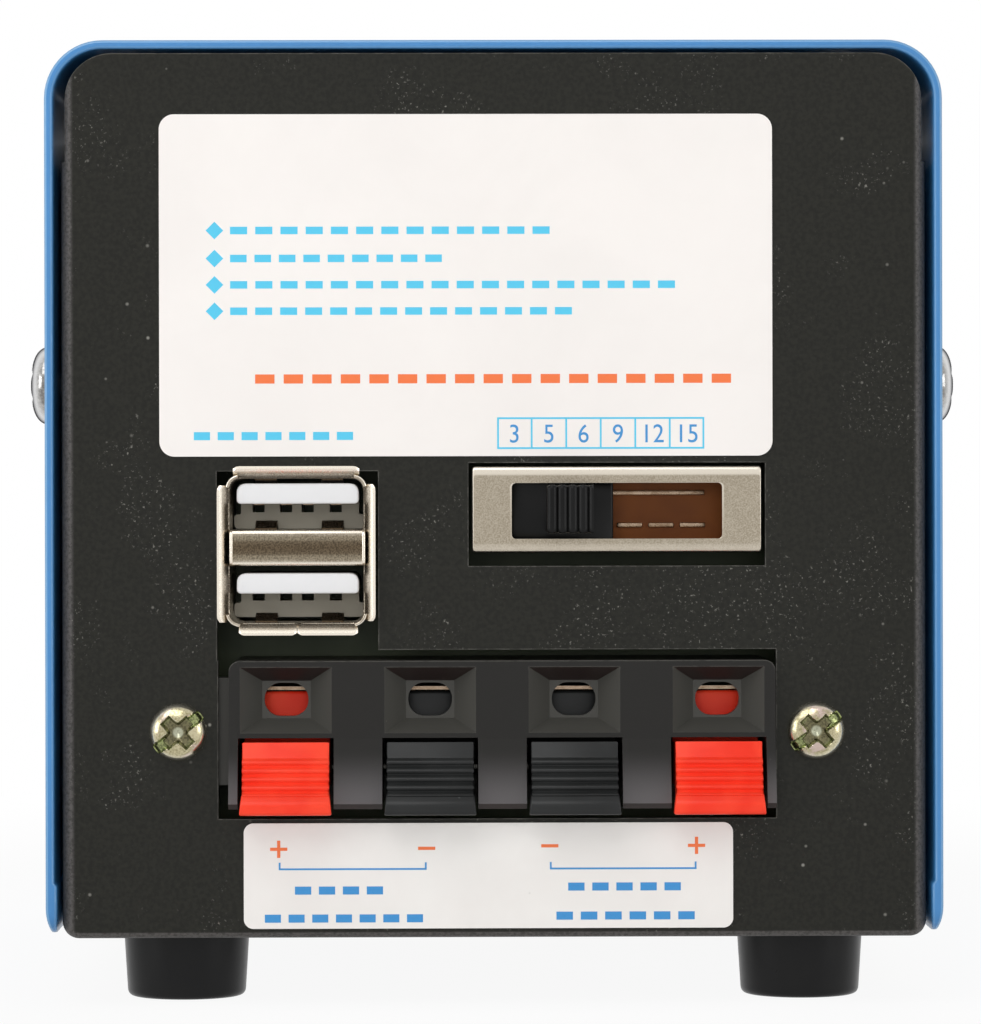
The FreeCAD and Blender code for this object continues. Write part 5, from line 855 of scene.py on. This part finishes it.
screws = {
    # piece: node, ways its heads face, axes along which they stand apart, head's radius and height,
    # thread's radius and length, and how each head's cross and slot are turned
    "panelScrews": ("panel_screws", ["-Y"], "X", 2.7, 1.9, 1.5, 9.2, [(45, 38), (45, 35)]),
    "coverScrews": ("cover_screws", ["-X", "X"], "Y", 3.75, 2.2, 2.0, 8.0,
                    [(43, None), (70, None), (49, None), (52, None)]),
    "footScrews": ("foot_screws", ["-Z"], "XY", 2.7, 1.9, 1.5, 7.5, [(45, None)] * 4),
    "gearboxScrews": ("gearbox_screws", ["Y", "-Y"], "XZ", 2.7, 1.9, 1.5, 9.0,
                      [(45, None), (45, None), (49, None), (70, None)] * 2),
    "crankScrew": ("crank_screw", ["Y"], "", 4.5, 3.0, 2.5, 11.0, [(20, None)]),
}


def headCentres(node, facings, apart, radius, high):
    # the heads touch the sides of their node's box, or sit in its middle
    for facing in facings:
        places = []
        for letter, a, b in zip("XYZ", *nodeBox(node)):
            if letter == facing[-1]:
                places.append([a + high] if facing[0] == "-" else [b - high])
            else:
                places.append([a + radius, b - radius] if letter in apart else [(a + b) / 2])
        for centre in product(*places):
            yield centre, facing


for label, (node, facings, apart, radius, high, thread, length, turns) in screws.items():
    heads = zip(headCentres(node, facings, apart, radius, high), turns)
    makePiece(label, [screwShell(centre, facing, radius, high, thread, length, *turn)
                      for (centre, facing), turn in heads], node, sharp=32)
print("feet and screws are made")


# prints on the labels

printShape = {
    "thick": 0.012, "sink": 0.004,          # in front of the label's face and behind it, mm
    "fontSize": 1.39, "digitWide": 0.92,    # for a digit's height of 1; share of the font's own width
}


def inkShells(outlines, face):
    # each closed outline (x, z) as a flat block, a little sunk into the label's face
    steps = [(face + printShape["sink"], 0), (face - printShape["thick"], 0)]
    return [carried(np.asarray(outline, float), "Y", steps) for outline in outlines]


def dashes(x0, x1, z, high, pitch, gap=0.32):
    # a row of words as plain dashes, one for each sign
    count = max(1, round((x1 - x0) / pitch))
    wide = (x1 - x0) / count
    return [box4(x0 + wide * k, z - high / 2, x0 + wide * (k + 1 - gap), z + high / 2) for k in range(count)]


def digits(text, x, z, high, face):
    # plain numbers of a dial, centred on (x, z): font outlines made a mesh and laid on the label
    curve = bpy.data.curves.new(text, "FONT")
    curve.body = text
    curve.size = high * printShape["fontSize"] * mm
    curve.align_x = "CENTER"
    curve.extrude = printShape["thick"] / 2 * mm
    curve.resolution_u = 6
    writer = bpy.data.objects.new(text, curve)
    scene.collection.objects.link(writer)
    bpy.context.view_layer.update()
    made = bpy.data.meshes.new_from_object(writer)
    bpy.data.objects.remove(writer)
    place = np.empty(len(made.vertices) * 3)
    made.vertices.foreach_get("co", place)
    across, up, out = place.reshape(-1, 3).T / mm
    laid = np.stack([across * printShape["digitWide"] + x, face - out, up + z - high / 2], axis=1)
    faces = [np.array(polygon.vertices) for polygon in made.polygons]
    return laid, np.empty((0, 4), int), faces


upperPlaces = {
    # dashes: from, to, z, height, pitch
    "points": [(-24.5, 5.95, 72.3, 0.7, 2.35), (-24.5, -4.1, 69.7, 0.7, 2.35),
               (-24.5, 17.6, 67.25, 0.7, 2.35), (-24.5, 8.0, 64.8, 0.7, 2.35)],
    "range": (-27.9, -12.4, 53.2, 0.75, 2.2),
    "notice": (-22.2, 22.9, 58.5, 0.85, 2.65),
    "diamond": (-25.95, 0.82),          # x, half its width
    "scale": (0.28, 51.95, 19.55, 54.9), "line": 0.17,
    "numbers": ("3", "5", "6", "9", "12", "15"), "tall": 1.75,
}


def upperLabelPrint():
    c = upperPlaces
    face = nodeBox("label_upper")[0][1]
    (x0, z0, x1, z1), line = c["scale"], c["line"]
    x, half = c["diamond"]
    cyan = [[(x, z - half), (x + half, z), (x, z + half), (x - half, z)] for _, _, z, _, _ in c["points"]]
    for row in c["points"] + [c["range"]]:
        cyan += dashes(*row)
    # the scale's frame and the lines between its cells
    cyan += [box4(x0, z, x1, z + line) for z in (z0, z1 - line)]
    edges = np.linspace(x0, x1, len(c["numbers"]) + 1)
    lefts = [x0, *(edges[1:-1] - line / 2), x1 - line]
    cyan += [box4(x, z0 + line, x + line, z1 - line) for x in lefts]
    makePiece("upperPrint", inkShells(cyan, face), "label_upper", (), inks["cyan"])
    makePiece("scaleNumbers", [digits(number, x, (z0 + z1) / 2, c["tall"], face)
                               for number, x in zip(c["numbers"], (edges[1:] + edges[:-1]) / 2)],
              "label_upper", (), inks["blue"])
    makePiece("noticePrint", inkShells(dashes(*c["notice"]), face), "label_upper", (), inks["orange"])


lowerPlaces = {
    "plus": [(-20.1, 14.8), (18.75, 15.05)], "minus": [(-6.35, 14.85), (5.1, 15.05)],
    "sign": (1.6, 0.3),                 # length and thickness of its bars
    "brackets": [(-20.1, -6.35), (5.1, 18.75)], "bracketHeights": (12.85, 13.55), "line": 0.17,
    # rows of dashes: from, to, z
    "captions": [(-18.6, -9.7, 10.95), (-21.4, -6.0, 8.35), (6.8, 18.0, 11.25), (5.7, 19.3, 8.55)],
    "dash": (0.75, 2.3),                # height and pitch
}


def lowerLabelPrint():
    c = lowerPlaces
    face = nodeBox("label_lower")[0][1]
    half, thick = np.array(c["sign"]) / 2
    orange = [box4(x - half, z - thick, x + half, z + thick) for x, z in c["plus"] + c["minus"]]
    for x, z in c["plus"]:
        orange += [box4(x - thick, z + thick, x + thick, z + half),
                   box4(x - thick, z - half, x + thick, z - thick)]
    makePiece("signPrint", inkShells(orange, face), "label_lower", (), inks["orange"])
    (low, high), w = c["bracketHeights"], c["line"]
    blue = []
    for x0, x1 in c["brackets"]:
        blue += [box4(x0, low, x1, low + w), box4(x0, low + w, x0 + w, high), box4(x1 - w, low + w, x1, high)]
    for row in c["captions"]:
        blue += dashes(*row, *c["dash"])
    makePiece("lowerPrint", inkShells(blue, face), "label_lower", (), inks["blue"])


upperLabelPrint()
lowerLabelPrint()
print("labels are printed")


# USB receptacle

usbShape = {
    "middle": (-18.4, 42.54), "wide": 13.1, "high": 14.1, "corner": 1.7, "wall": 0.35,
    "mouth": -84.45, "rear": -68.15, "flare": 0.13, "flareLong": 2.0, "setBack": 0.2,
    "lipDeep": 1.3, "lipOut": 0.92, "lipThick": 0.34, "lipCorner": 0.5, "lipPower": 2.3, "lipCurl": 0.14,
    "lipNotch": 0.25,           # over this width the mouth steps back beside a lip
    # lips: middle (x, z) of their root, length, direction outwards
    "lips": [((-18.4, 49.56), 11.7, "Z", 1), ((-21.05, 35.52), 5.35, "Z", -1), ((-15.5, 35.52), 5.6, "Z", -1),
             ((-24.92, 42.25), 12.7, "X", -1), ((-11.88, 42.35), 12.7, "X", 1)],
    "divider": {"middle": (-18.3, 42.82), "wide": 12.6, "high": 3.35, "round": 0.5, "edge": 0.1, "back": 0.15,
                "foldProud": 0.14, "foldLong": 2.0, "foldThick": 0.3, "foldRound": 0.45},
    "finger": {"wide": 2.05, "from": 3.0, "to": 8.0, "rise": 0.72, "thick": 0.22, "middle": -18.2,
               "apart": 6.2, "upper": 0.5},         # upper is the share of the rise that the upper pair has
}


def usbSheath():
    # rounded rectangles ring by ring: outer face forwards, round the mouth's edge, inner face back. The
    # mouth lies lipDeep further back where a lip continues the wall, and its end flares out by
    # flare (1 - depth / flareLong)^2
    c = usbShape
    x, z = c["middle"]
    half = c["wide"] / 2, c["high"] / 2
    sides = box4(x - half[0], z - half[1], x + half[0], z + half[1])
    outline = evenly(softOutline(sides, c["corner"], 12), 400)
    back = np.full(len(outline), c["setBack"])
    for (lx, lz), length, axis, way in c["lips"]:
        k = 0 if axis == "Z" else 1
        onSide = way * (outline[:, 1 - k] - (z, x)[k]) > half[1 - k] - 0.05
        near = np.clip((length / 2 - np.abs(outline[:, k] - (lx, lz)[k])) / c["lipNotch"], 0, 1)
        back = np.maximum(back, onSide * near * c["lipDeep"])
    wall, edge = c["wall"], c["wall"] / 2
    rounded = [(edge - edge * math.sin(t), edge - edge * math.cos(t)) for t in np.linspace(0, np.pi, 7)]
    # depth behind the mouth, and how far the outline is inset there
    near, far = c["lipDeep"], 2 * c["lipDeep"]
    steps = [(np.inf, 0.0), (far, 0.0), (near, 0.0), *rounded, (near, wall), (far, wall), (np.inf, wall)]
    rings = []
    for depth, distance in steps:
        y = np.minimum(c["mouth"] + back + depth, c["rear"])
        flare = c["flare"] * np.clip(1 - (y - c["mouth"]) / c["flareLong"], 0, 1) ** 2
        rings.append(np.insert(inset(outline, (distance - flare)[:, None]), 1, y, axis=1))
    depth, distance = np.array(steps).T
    # painted highlight on the mouth's rounded edge, weaker on its inner part
    wearAndHighlight = np.where(depth > edge + 0.01, 0.0, np.where(distance < edge, -1.0, -0.3))
    return *tube(np.array(rings), closed=True), np.repeat(wearAndHighlight, len(outline))


def usbLip(middle, length, axis, way):
    # centre line (y, n)(s) = (mouth + deep (1 - s), out s^lipPower), swept along the lip; near its ends the
    # lip's free edge draws back by lipCurl t^2 of its reach, t running from 0 to 1 over the last lipCorner
    c = usbShape
    t = np.linspace(-1, 1, 41) * length / 2
    near = np.clip((np.abs(t) - (length / 2 - c["lipCorner"])) / c["lipCorner"], 0, 1)
    share = (1 - c["lipCurl"] * near ** 2)[:, None]
    s = np.linspace(0, 1, 12)[None, :] * share
    y = c["mouth"] + c["lipDeep"] * (1 - s)
    n = (c["lipOut"] - c["lipThick"] / 2) * s ** c["lipPower"] - 0.05
    slope = np.gradient(n, axis=1) / -np.gradient(y, axis=1)
    size = np.sqrt(1 + slope ** 2)
    offset = c["lipThick"] / 2 * np.stack([slope / size, 1 / size], axis=-1)
    line = np.stack([y, n], axis=-1)
    tip = line[:, -1:] + c["lipThick"] / 2 * np.stack([-1 / size, slope / size], axis=-1)[:, -1:]
    loop = np.concatenate([line - offset, tip, (line + offset)[:, ::-1]], axis=1)
    along, across = (0, 2) if axis == "Z" else (2, 0)
    rings = np.zeros(loop.shape[:2] + (3,))
    rings[..., along] = t[:, None] + middle[along // 2]
    rings[..., across] = way * loop[..., 1] + middle[across // 2]
    rings[..., 1] = loop[..., 0]
    # painted highlight lines along the lip's free edge
    fromTip = np.abs(np.arange(loop.shape[1]) - line.shape[1])
    wearAndHighlight = np.where(fromTip > 4, 0.0, np.where(fromTip > 2, -0.45, -1.0))
    return *tube(rings), np.broadcast_to(wearAndHighlight, rings.shape[:2]).ravel()


def usbDivider():
    # a folded sheet's rounded front carried across the mouth, with a raised fold at each end
    c, whole = usbShape["divider"], usbShape
    x, z = c["middle"]
    half, reach, edge, thick = c["high"] / 2, c["wide"] / 2, c["edge"], c["foldThick"]
    front = whole["mouth"] + c["back"]
    side = softOutline(box4(front, z - half, whole["rear"], z + half),
                       [c["round"], edge, edge, c["round"]], 8)
    plate = carried(evenly(side, 260), "X", edged(x - reach, x + reach, edge))
    # painted light on the front: shade painted along its middle band, a highlight painted on its rounded top
    # and bottom
    height = np.abs(plate[0][:, 2] - z) / half
    deep = np.interp(height, [0.0, 0.35, 0.7, 0.86, 1.0], [0.5, 0.44, 0.1, -0.9, -0.4])
    fold = softOutline(box4(front - c["foldProud"], z - half + edge, front + c["foldLong"], z + half - edge),
                       [c["foldRound"], edge, edge, c["foldRound"]], 6)
    # the folds at the ends get a painted highlight
    return [(*plate, deep)] + [shaded(carried(fold, "X", edged(start, start + thick, edge)), -0.8)
                               for start in (x - reach, x + reach - thick)]


def usbFingers():
    # spring arms pressed out of the shell: a thin sheet z(s) = wall + rise sin^1.5(pi s), carried across
    c, whole = usbShape["finger"], usbShape
    inner = whole["high"] / 2 - whole["wall"]
    z, mid = whole["middle"][1], whole["divider"]["middle"][1]
    s = np.linspace(0, 1, 16)
    y = whole["mouth"] + c["from"] + (c["to"] - c["from"]) * s
    shells = []
    for wall, way in ((z - inner, 1), (mid + whole["divider"]["high"] / 2, 1), (z + inner, -1)):
        line = wall + way * (c["rise"] * (1 if way > 0 else c["upper"]) * np.sin(np.pi * s) ** 1.5 + 0.02)
        upper, lower = [np.stack([y, line + side * c["thick"] / 2], axis=1) for side in (1, -1)]
        for side in (-0.5, 0.5):
            across = c["middle"] + side * c["apart"]
            # painted shade on the fingers inside the port
            shells.append(shaded(carried(np.concatenate([upper, lower[::-1]]), "X",
                                         edged(across - c["wide"] / 2, across + c["wide"] / 2, 0.06)), 0.8))
    return shells


tongueShape = {
    "tops": (48.8, 40.45), "high": 1.9, "left": -23.95, "right": -12.6, "front": -83.7,
    "round": (0.45, 1.1), "edge": 0.2,      # lower and upper corners, and the front's edge
    "pockets": (-22.2, -19.6, -17.55, -14.9), "pocketWide": 1.15, "pocketHigh": 0.8,
    # the block behind: its face, how far below the tongue's top it widens and ends, and by how much it widens
    "face": -75.6, "step": 2.9, "faceLow": 4.25, "stepOut": 0.55,
    "inside": 0.1,                          # how far its upper part stays inside the tongue
    "rounds": (0.03, 0.05, 0.2, 0.3, 0.45),         # of its pockets, roof, inner and outer step, and foot
    "stripWide": 1.0, "stripBack": 1.2,     # contact strips, which start behind the face
}


def usbInsulator():
    # per port a tongue, its outline (x, z) carried along Y, and a block that is notched below the tongue
    c, rear = tongueShape, usbShape["rear"]
    left, right, out, e = c["left"], c["right"], c["stepOut"], c["inside"]
    pocket, roof, inner, outer, base = c["rounds"]
    shells = []
    for top in c["tops"]:
        low, step, floor = top - c["high"], top - c["step"], top - c["faceLow"]
        tongue = softOutline(box4(left, low, right, top), np.repeat(c["round"], 2), 8)
        shells.append(carried(tongue, "Y", edged(c["front"], rear, c["edge"])))
        outline = [(left + e, low + e)]
        for x in c["pockets"]:
            half, foot = c["pocketWide"] / 2, low - c["pocketHigh"]
            outline += [(x - half, low + e), (x - half, foot), (x + half, foot), (x + half, low + e)]
        outline += [(right - e, low + e), (right - e, step), (right + out, step), (right + out, floor),
                    (left - out, floor), (left - out, step), (left + e, step)]
        soft = [pocket] * (len(outline) - 7) + [roof, inner, outer, base, base, outer, inner]
        shells.append(carried(softOutline(outline[::-1], soft[::-1], 3), "Y",
                              [(c["face"] + e, 0.0), (rear, 0.0)]))
    return shells


def usbContacts():
    # strips along the underside of each tongue
    c = tongueShape
    half = c["stripWide"] / 2
    steps = [(c["face"] + c["stripBack"], 0.0), (usbShape["rear"], 0.0)]
    return [carried(box4(x - half, top - c["high"] - 0.1, x + half, top - c["high"] + 0.2), "Y", steps)
            for top in c["tops"] for x in c["pockets"]]


insulatorLook = {"near": (230, 230, 231), "inside": (186, 180, 164), "cloud": (205, 203, 200), "rough": 0.36,
                 "sheen": 0.4}


def insulatorPlastic():
    # white moulding, greyer and browner with depth as little light reaches it
    c = insulatorLook
    f = Finish("insulatorPlastic", Roughness=c["rough"], Specular_IOR_Level=c["sheen"])
    grain = f.use("grain", Size=0.3, Softness=0.7)
    near, far = tongueShape["front"] + 0.8, tongueShape["face"] - 0.5
    inside = f.ramp(f.parts(f.place())["Y"], near * mm, far * mm)
    colour = f.lay(c["near"], c["inside"], inside)
    colour = f.lay(colour, c["cloud"], f.use("flow", Wave=5.0, Scratch=0.25)["Height"], 0.1)
    f.bump(grain["Height"], 0.004, 0.5)
    return f.finished(colour, grain["Shade"], 0.1)


usbLips = [usbLip(*lip) for lip in usbShape["lips"]]
makePiece("usbShell", [usbSheath(), *usbLips, *usbDivider(), *usbFingers()], "usb_shell", sharp=40)
makePiece("usbTongues", usbInsulator(), "usb_insulator", finish=insulatorPlastic(), sharp=40)
makePiece("usbContactStrips", usbContacts(), "usb_contacts")
print("USB receptacle is made")


# slide switch

switchShape = {
    "bend": 0.42, "metal": 0.4, "grow": 0.04, "corner": 0.3,
    "narrower": (0.1, 0.12, 0.15),      # how far its ends draw in over the bend, in the band of painted highlight and past it
    "band": 0.55, "lowBand": 0.45,      # width of the band of painted highlight beside the bend, and that highlight's strength on the lower half
    "window": (1.62, 43.6, 21.2, 48.78), "windowCorner": 0.45, "windowEdge": 0.03,
    "rail": {"wide": 0.46, "proud": 0.42, "round": 0.14, "edge": 0.08,
             "upper": (3.0, 19.85, 47.88),          # from, to, z
             "lowerZ": 44.85, "end": 19.9, "pitch": 2.95, "gap": 0.55, "count": 6},
}


def switchFrame():
    # rings between the frame's outline and its window's, share 0 on the outline and 1 on the window's edge.
    # Over the bend the height shrinks by bend (1 - cos t) while the ring comes forward by bend sin t
    c = switchShape
    low, high = nodeBox("switch_frame")
    g, metal, bend = c["grow"], c["metal"], c["bend"]
    outer = softOutline(box4(low[0], low[2] - g, high[0], high[2] + g), c["corner"], 5)
    window = softOutline(box4(*c["window"]), c["windowCorner"], 5)
    centre, middle = (low[0] + high[0]) / 2, (low[2] + high[2]) / 2
    front, halfHigh = low[1], (high[2] - low[2]) / 2 + g

    def ring(y, shrink, share=0.0, narrower=0.0):
        x = outer[:, 0] - np.sign(outer[:, 0] - centre) * narrower
        flat = np.stack([x, middle + (outer[:, 1] - middle) * (1 - shrink / halfHigh)], axis=1)
        return np.insert(flat * (1 - share) + window * share, 1, y, axis=1)

    band = bend + c["band"]
    overBend, inBand, past = c["narrower"]
    # each ring with its "deep": below 0 paints a highlight over the bend, the band beside it and the window's
    # edge
    rings = [(ring(high[1], 0), 0.0), (ring(front + bend, 0), -0.6)]
    for a in np.linspace(0, np.pi / 2, 7)[1:]:
        sunk = 1 - math.cos(a)
        rings.append((ring(front + bend * (1 - math.sin(a)), bend * sunk, narrower=overBend * sunk), -1.0))
    rings += [(ring(front, bend + c["band"] * 0.6, narrower=inBand), -0.75),
              (ring(front, band, narrower=past), 0.0)]
    rings += [(ring(front, band, share, past), 0.0) for share in (0.3, 0.7, 0.93)]
    rings += [(ring(front, band, 0.97, past), -0.7), (ring(front + c["windowEdge"], bend, 1.0), -0.7),
              (ring(front + metal, bend, 1.0), 0.0),
              (ring(front + metal, metal + bend * 0.7, 0.0, metal), 0.0),
              (ring(front + bend, metal, 0.0, metal), 0.0), (ring(high[1], metal, 0.0, metal), 0.0)]
    places, shades = zip(*rings)
    # the painted highlight is weaker on the lower half
    weaker = np.where(outer[:, 1] < middle, c["lowBand"], 1.0)
    return *tube(np.array(places), closed=True), np.outer(shades, weaker).ravel()


def switchRails():
    # rounded rails on the contact board: a long one above and one for each position below
    c = switchShape["rail"]
    board = nodeBox("switch_board")[0][1]
    ends = [c["end"] - k * c["pitch"] for k in range(c["count"])]
    runs = [c["upper"]] + [(end - c["pitch"] + c["gap"], end, c["lowerZ"]) for end in ends]
    half = c["wide"] / 2
    soft = [c["round"], 0, 0, c["round"]]
    shells = []
    for x0, x1, z in runs:
        side = softOutline(box4(board - c["proud"], z - half, board + 0.1, z + half), soft)
        shells.append(carried(side, "X", edged(x0, x1, c["edge"])))
    return shells


knobShape = {
    "wide": 4.3, "high": 4.5, "edge": 0.35, "ribs": 4.5, "ribHigh": 0.28,
    "ribLong": 1.2, "ribSide": 0.4,     # how far back the ribs run out, and their share above and below
    "baseThick": 2.0, "baseEdge": 0.12, "baseRound": 0.4,
    "baseLeft": 0.95, "baseShort": 0.4,         # past the node's left end, and short of its right one
}


def sliderShells():
    # base: a rounded plate. Knob: its outline in (y, z) carried along X, its front set back by
    # ribHigh (1 - |sin(pi ribs u)|^0.8) at the share u of its width
    c = knobShape
    low, high = nodeBox("switch_slider")
    middle, centre = (low[0] + high[0]) / 2, (low[2] + high[2]) / 2
    wide, half, edge = c["wide"], c["high"] / 2, c["baseEdge"]
    basePlate = softOutline(box4(low[0] - c["baseLeft"], low[2], high[0] - c["baseShort"], high[2]),
                            c["baseRound"], 3)
    back, face = high[1], high[1] - c["baseThick"]
    base = carried(basePlate, "Y", [(back, 0), (face + edge, 0), (face, edge)])
    outline = evenly(softOutline(box4(low[1], centre - half, back - 0.3, centre + half),
                                 [c["edge"], 0, 0, c["edge"]], 6), 120)
    u = np.linspace(0, 1, 181)[:, None]
    sunk = c["ribHigh"] * (1 - np.abs(np.sin(np.pi * c["ribs"] * u)) ** 0.8)
    front = np.clip(low[1] + c["ribLong"] - outline[:, 0], 0, 1)
    y = outline[:, 0] + sunk * front
    z = centre + (outline[:, 1] - centre) * (1 - sunk * c["ribSide"] / half)
    x = middle - wide / 2 + wide * u * np.ones_like(y)
    return [base, tube(np.stack([x, y, z], axis=-1))]


makePiece("sliderKnob", sliderShells(), "switch_slider", sharp=50)
makePiece("switchFrame", [switchFrame()], "switch_frame", finish=satinNickel, sharp=40)
makePiece("switchRails", switchRails(), "switch_contacts", sharp=50)
print("slide switch is made")


# terminal block

leverShape = {
    "wide": 8.1, "lipWide": 8.5, "edge": 0.14, "flareTo": 18.3,
    "ribHigh": 0.3, "ribPitch": 0.77, "ribsFrom": 23.35,
    # side views in (in front of the panel, height), and how far their corners are rounded
    "front": [(0.9, 24.75), (2.75, 19.9)], "foot": [(2.8, 19.7), (2.8, 18.3)],
    # from the lip's root round the underside, heel and plate
    "rest": [(1.8, 19.3), (-0.4, 20.5), (-7.4, 20.5), (-11.0, 20.1), (-13.0, 20.7), (-13.0, 22.1),
             (-11.6, 23.7), (-5.6, 24.35), (-5.6, 29.3), (-4.4, 29.3), (-4.4, 24.75)],
    "restSoft": [0.2, 0.5, 1.0, 1.2, 0.3, 0.5, 1.5, 0.4, 0.3, 0.3, 0.3],
    "lip": [(1.9, 20.2), (2.95, 19.95), (3.6, 19.2), (3.6, 18.1), (1.9, 18.1)],
    "lipSoft": [0.1, 0.3, 0.35, 0.4, 0.1],
}


def leverShells(number):
    # the front line moves out by ribHigh (0.5 - 0.5 cos(2 pi (from - z) / pitch))^0.7 over the ribs; the
    # side view is carried across the lever, and the lip widens from the plate's width to its own towards
    # its foot
    c = leverShape
    low, high = nodeBox(f"terminal_lever_{number}")
    middle = (low[0] + high[0]) / 2
    reach, z = np.linspace(*c["front"], 90).T
    wave = np.clip(0.5 - 0.5 * np.cos(2 * np.pi * (c["ribsFrom"] - z) / c["ribPitch"]), 0, 1) ** 0.7
    front = np.stack([reach + c["ribHigh"] * wave * (z < c["ribsFrom"]), z], axis=1)
    rest = softOutline(c["rest"], c["restSoft"], 4)
    shells = []
    for wide, outline in ((c["wide"], np.concatenate([front, c["foot"], rest])),
                          (c["lipWide"], softOutline(c["lip"], c["lipSoft"], 6))):
        side = np.stack([panelFront - outline[:, 0], outline[:, 1]], axis=1)
        points, *faces = carried(side, "X", edged(middle - wide / 2, middle + wide / 2, c["edge"]))
        flare = np.clip((points[:, 2] - c["flareTo"]) / (c["lip"][0][1] - c["flareTo"]), 0, 1)
        points[:, 0] -= (points[:, 0] - middle) * flare * (1 - c["wide"] / wide)
        shells.append((points, *faces))
    return shells


dressed("terminal_body", 0.2, 3)
for number in range(1, 5):
    makePiece(f"lever{number}", leverShells(number), f"terminal_lever_{number}", sharp=45)
dressed("chassis", 0.1)
print("terminal block is made")


# crank, on the rear panel

armShape = {"boss": 10.0, "half": 7.5, "edge": 0.5, "backEdge": 0.3, "stations": 90}


def armShell():
    # half width w(z) = max(sqrt(B^2 - (z - zc)^2), sqrt(A^2 - (z - zg)^2) beyond the ends, A between them),
    # z spaced by cosine; the outline is w up one side and -w down the other, laid in rings with rounded edges
    c = armShape
    low, high = nodeBox("crank_arm")
    crank, grip = high[2] - c["boss"], low[2] + c["half"]
    t = np.linspace(0, np.pi, c["stations"])
    z = (low[2] + high[2]) / 2 - (high[2] - low[2]) / 2 * np.cos(t)
    boss = np.sqrt(np.maximum(c["boss"] ** 2 - (z - crank) ** 2, 0))
    tip = np.sqrt(np.maximum(c["half"] ** 2 - (z - grip) ** 2, 0))
    bar = np.where((z > grip) & (z < crank), c["half"], 0)
    w = np.maximum(np.maximum(boss, tip), bar)
    outline = np.concatenate([np.stack([w, z], axis=1), np.stack([-w, z], axis=1)[-2:0:-1]])
    e, back = c["edge"], c["backEdge"]
    steps = [(low[1], back), (low[1] + back, 0), (high[1] - e, 0), (high[1] - e * 0.6, e * 0.08),
             (high[1] - e * 0.25, e * 0.35), (high[1], e)]
    return carried(outline, "Y", steps)


gripShape = {"end": 7.5, "middle": 9.0, "rings": 7, "pitch": 0.1, "deep": 0.55, "wide": 0.018, "edge": 1.1,
             "bore": 3.15, "recess": 6.0, "recessDeep": 3.5}


def gripShell():
    # radius(s) = end + (middle - end) sin(pi s) - deep sum of exp(-((s - s_k) / wide)^4), with rounded ends,
    # then the recess for the bolt's head and the bore back to the start
    c = gripShape
    low, high = nodeBox("grip")
    long = high[1] - low[1]
    s = np.linspace(0, 1, 260)
    at = 0.5 + (np.arange(c["rings"]) - (c["rings"] - 1) / 2) * c["pitch"]
    groove = np.exp(-((s[:, None] - at) / c["wide"]) ** 4).sum(axis=1)
    radius = c["end"] + (c["middle"] - c["end"]) * np.sin(np.pi * s) - c["deep"] * groove
    inFrom = np.minimum(s, 1 - s) * long
    over = np.clip(c["edge"] - inFrom, 0, c["edge"])
    radius -= c["edge"] - np.sqrt(c["edge"] ** 2 - over ** 2)
    profile = np.stack([low[1] + s * long, radius], axis=1)
    inside = np.array([(high[1], c["recess"] + 0.2), (high[1] - 0.2, c["recess"]),
                       (high[1] - c["recessDeep"], c["recess"]), (high[1] - c["recessDeep"], c["bore"]),
                       (low[1], c["bore"])])
    return turned(np.concatenate([profile, inside]), "Y", ((low + high) / 2)[::2], 96, closed=True)


makePiece("crankArm", [armShell()], "crank_arm", sharp=50)
makePiece("gripBarrel", [gripShell()], "grip", sharp=50)
dressed("grip_bolt", 0.25, 3)
print("crank is made")
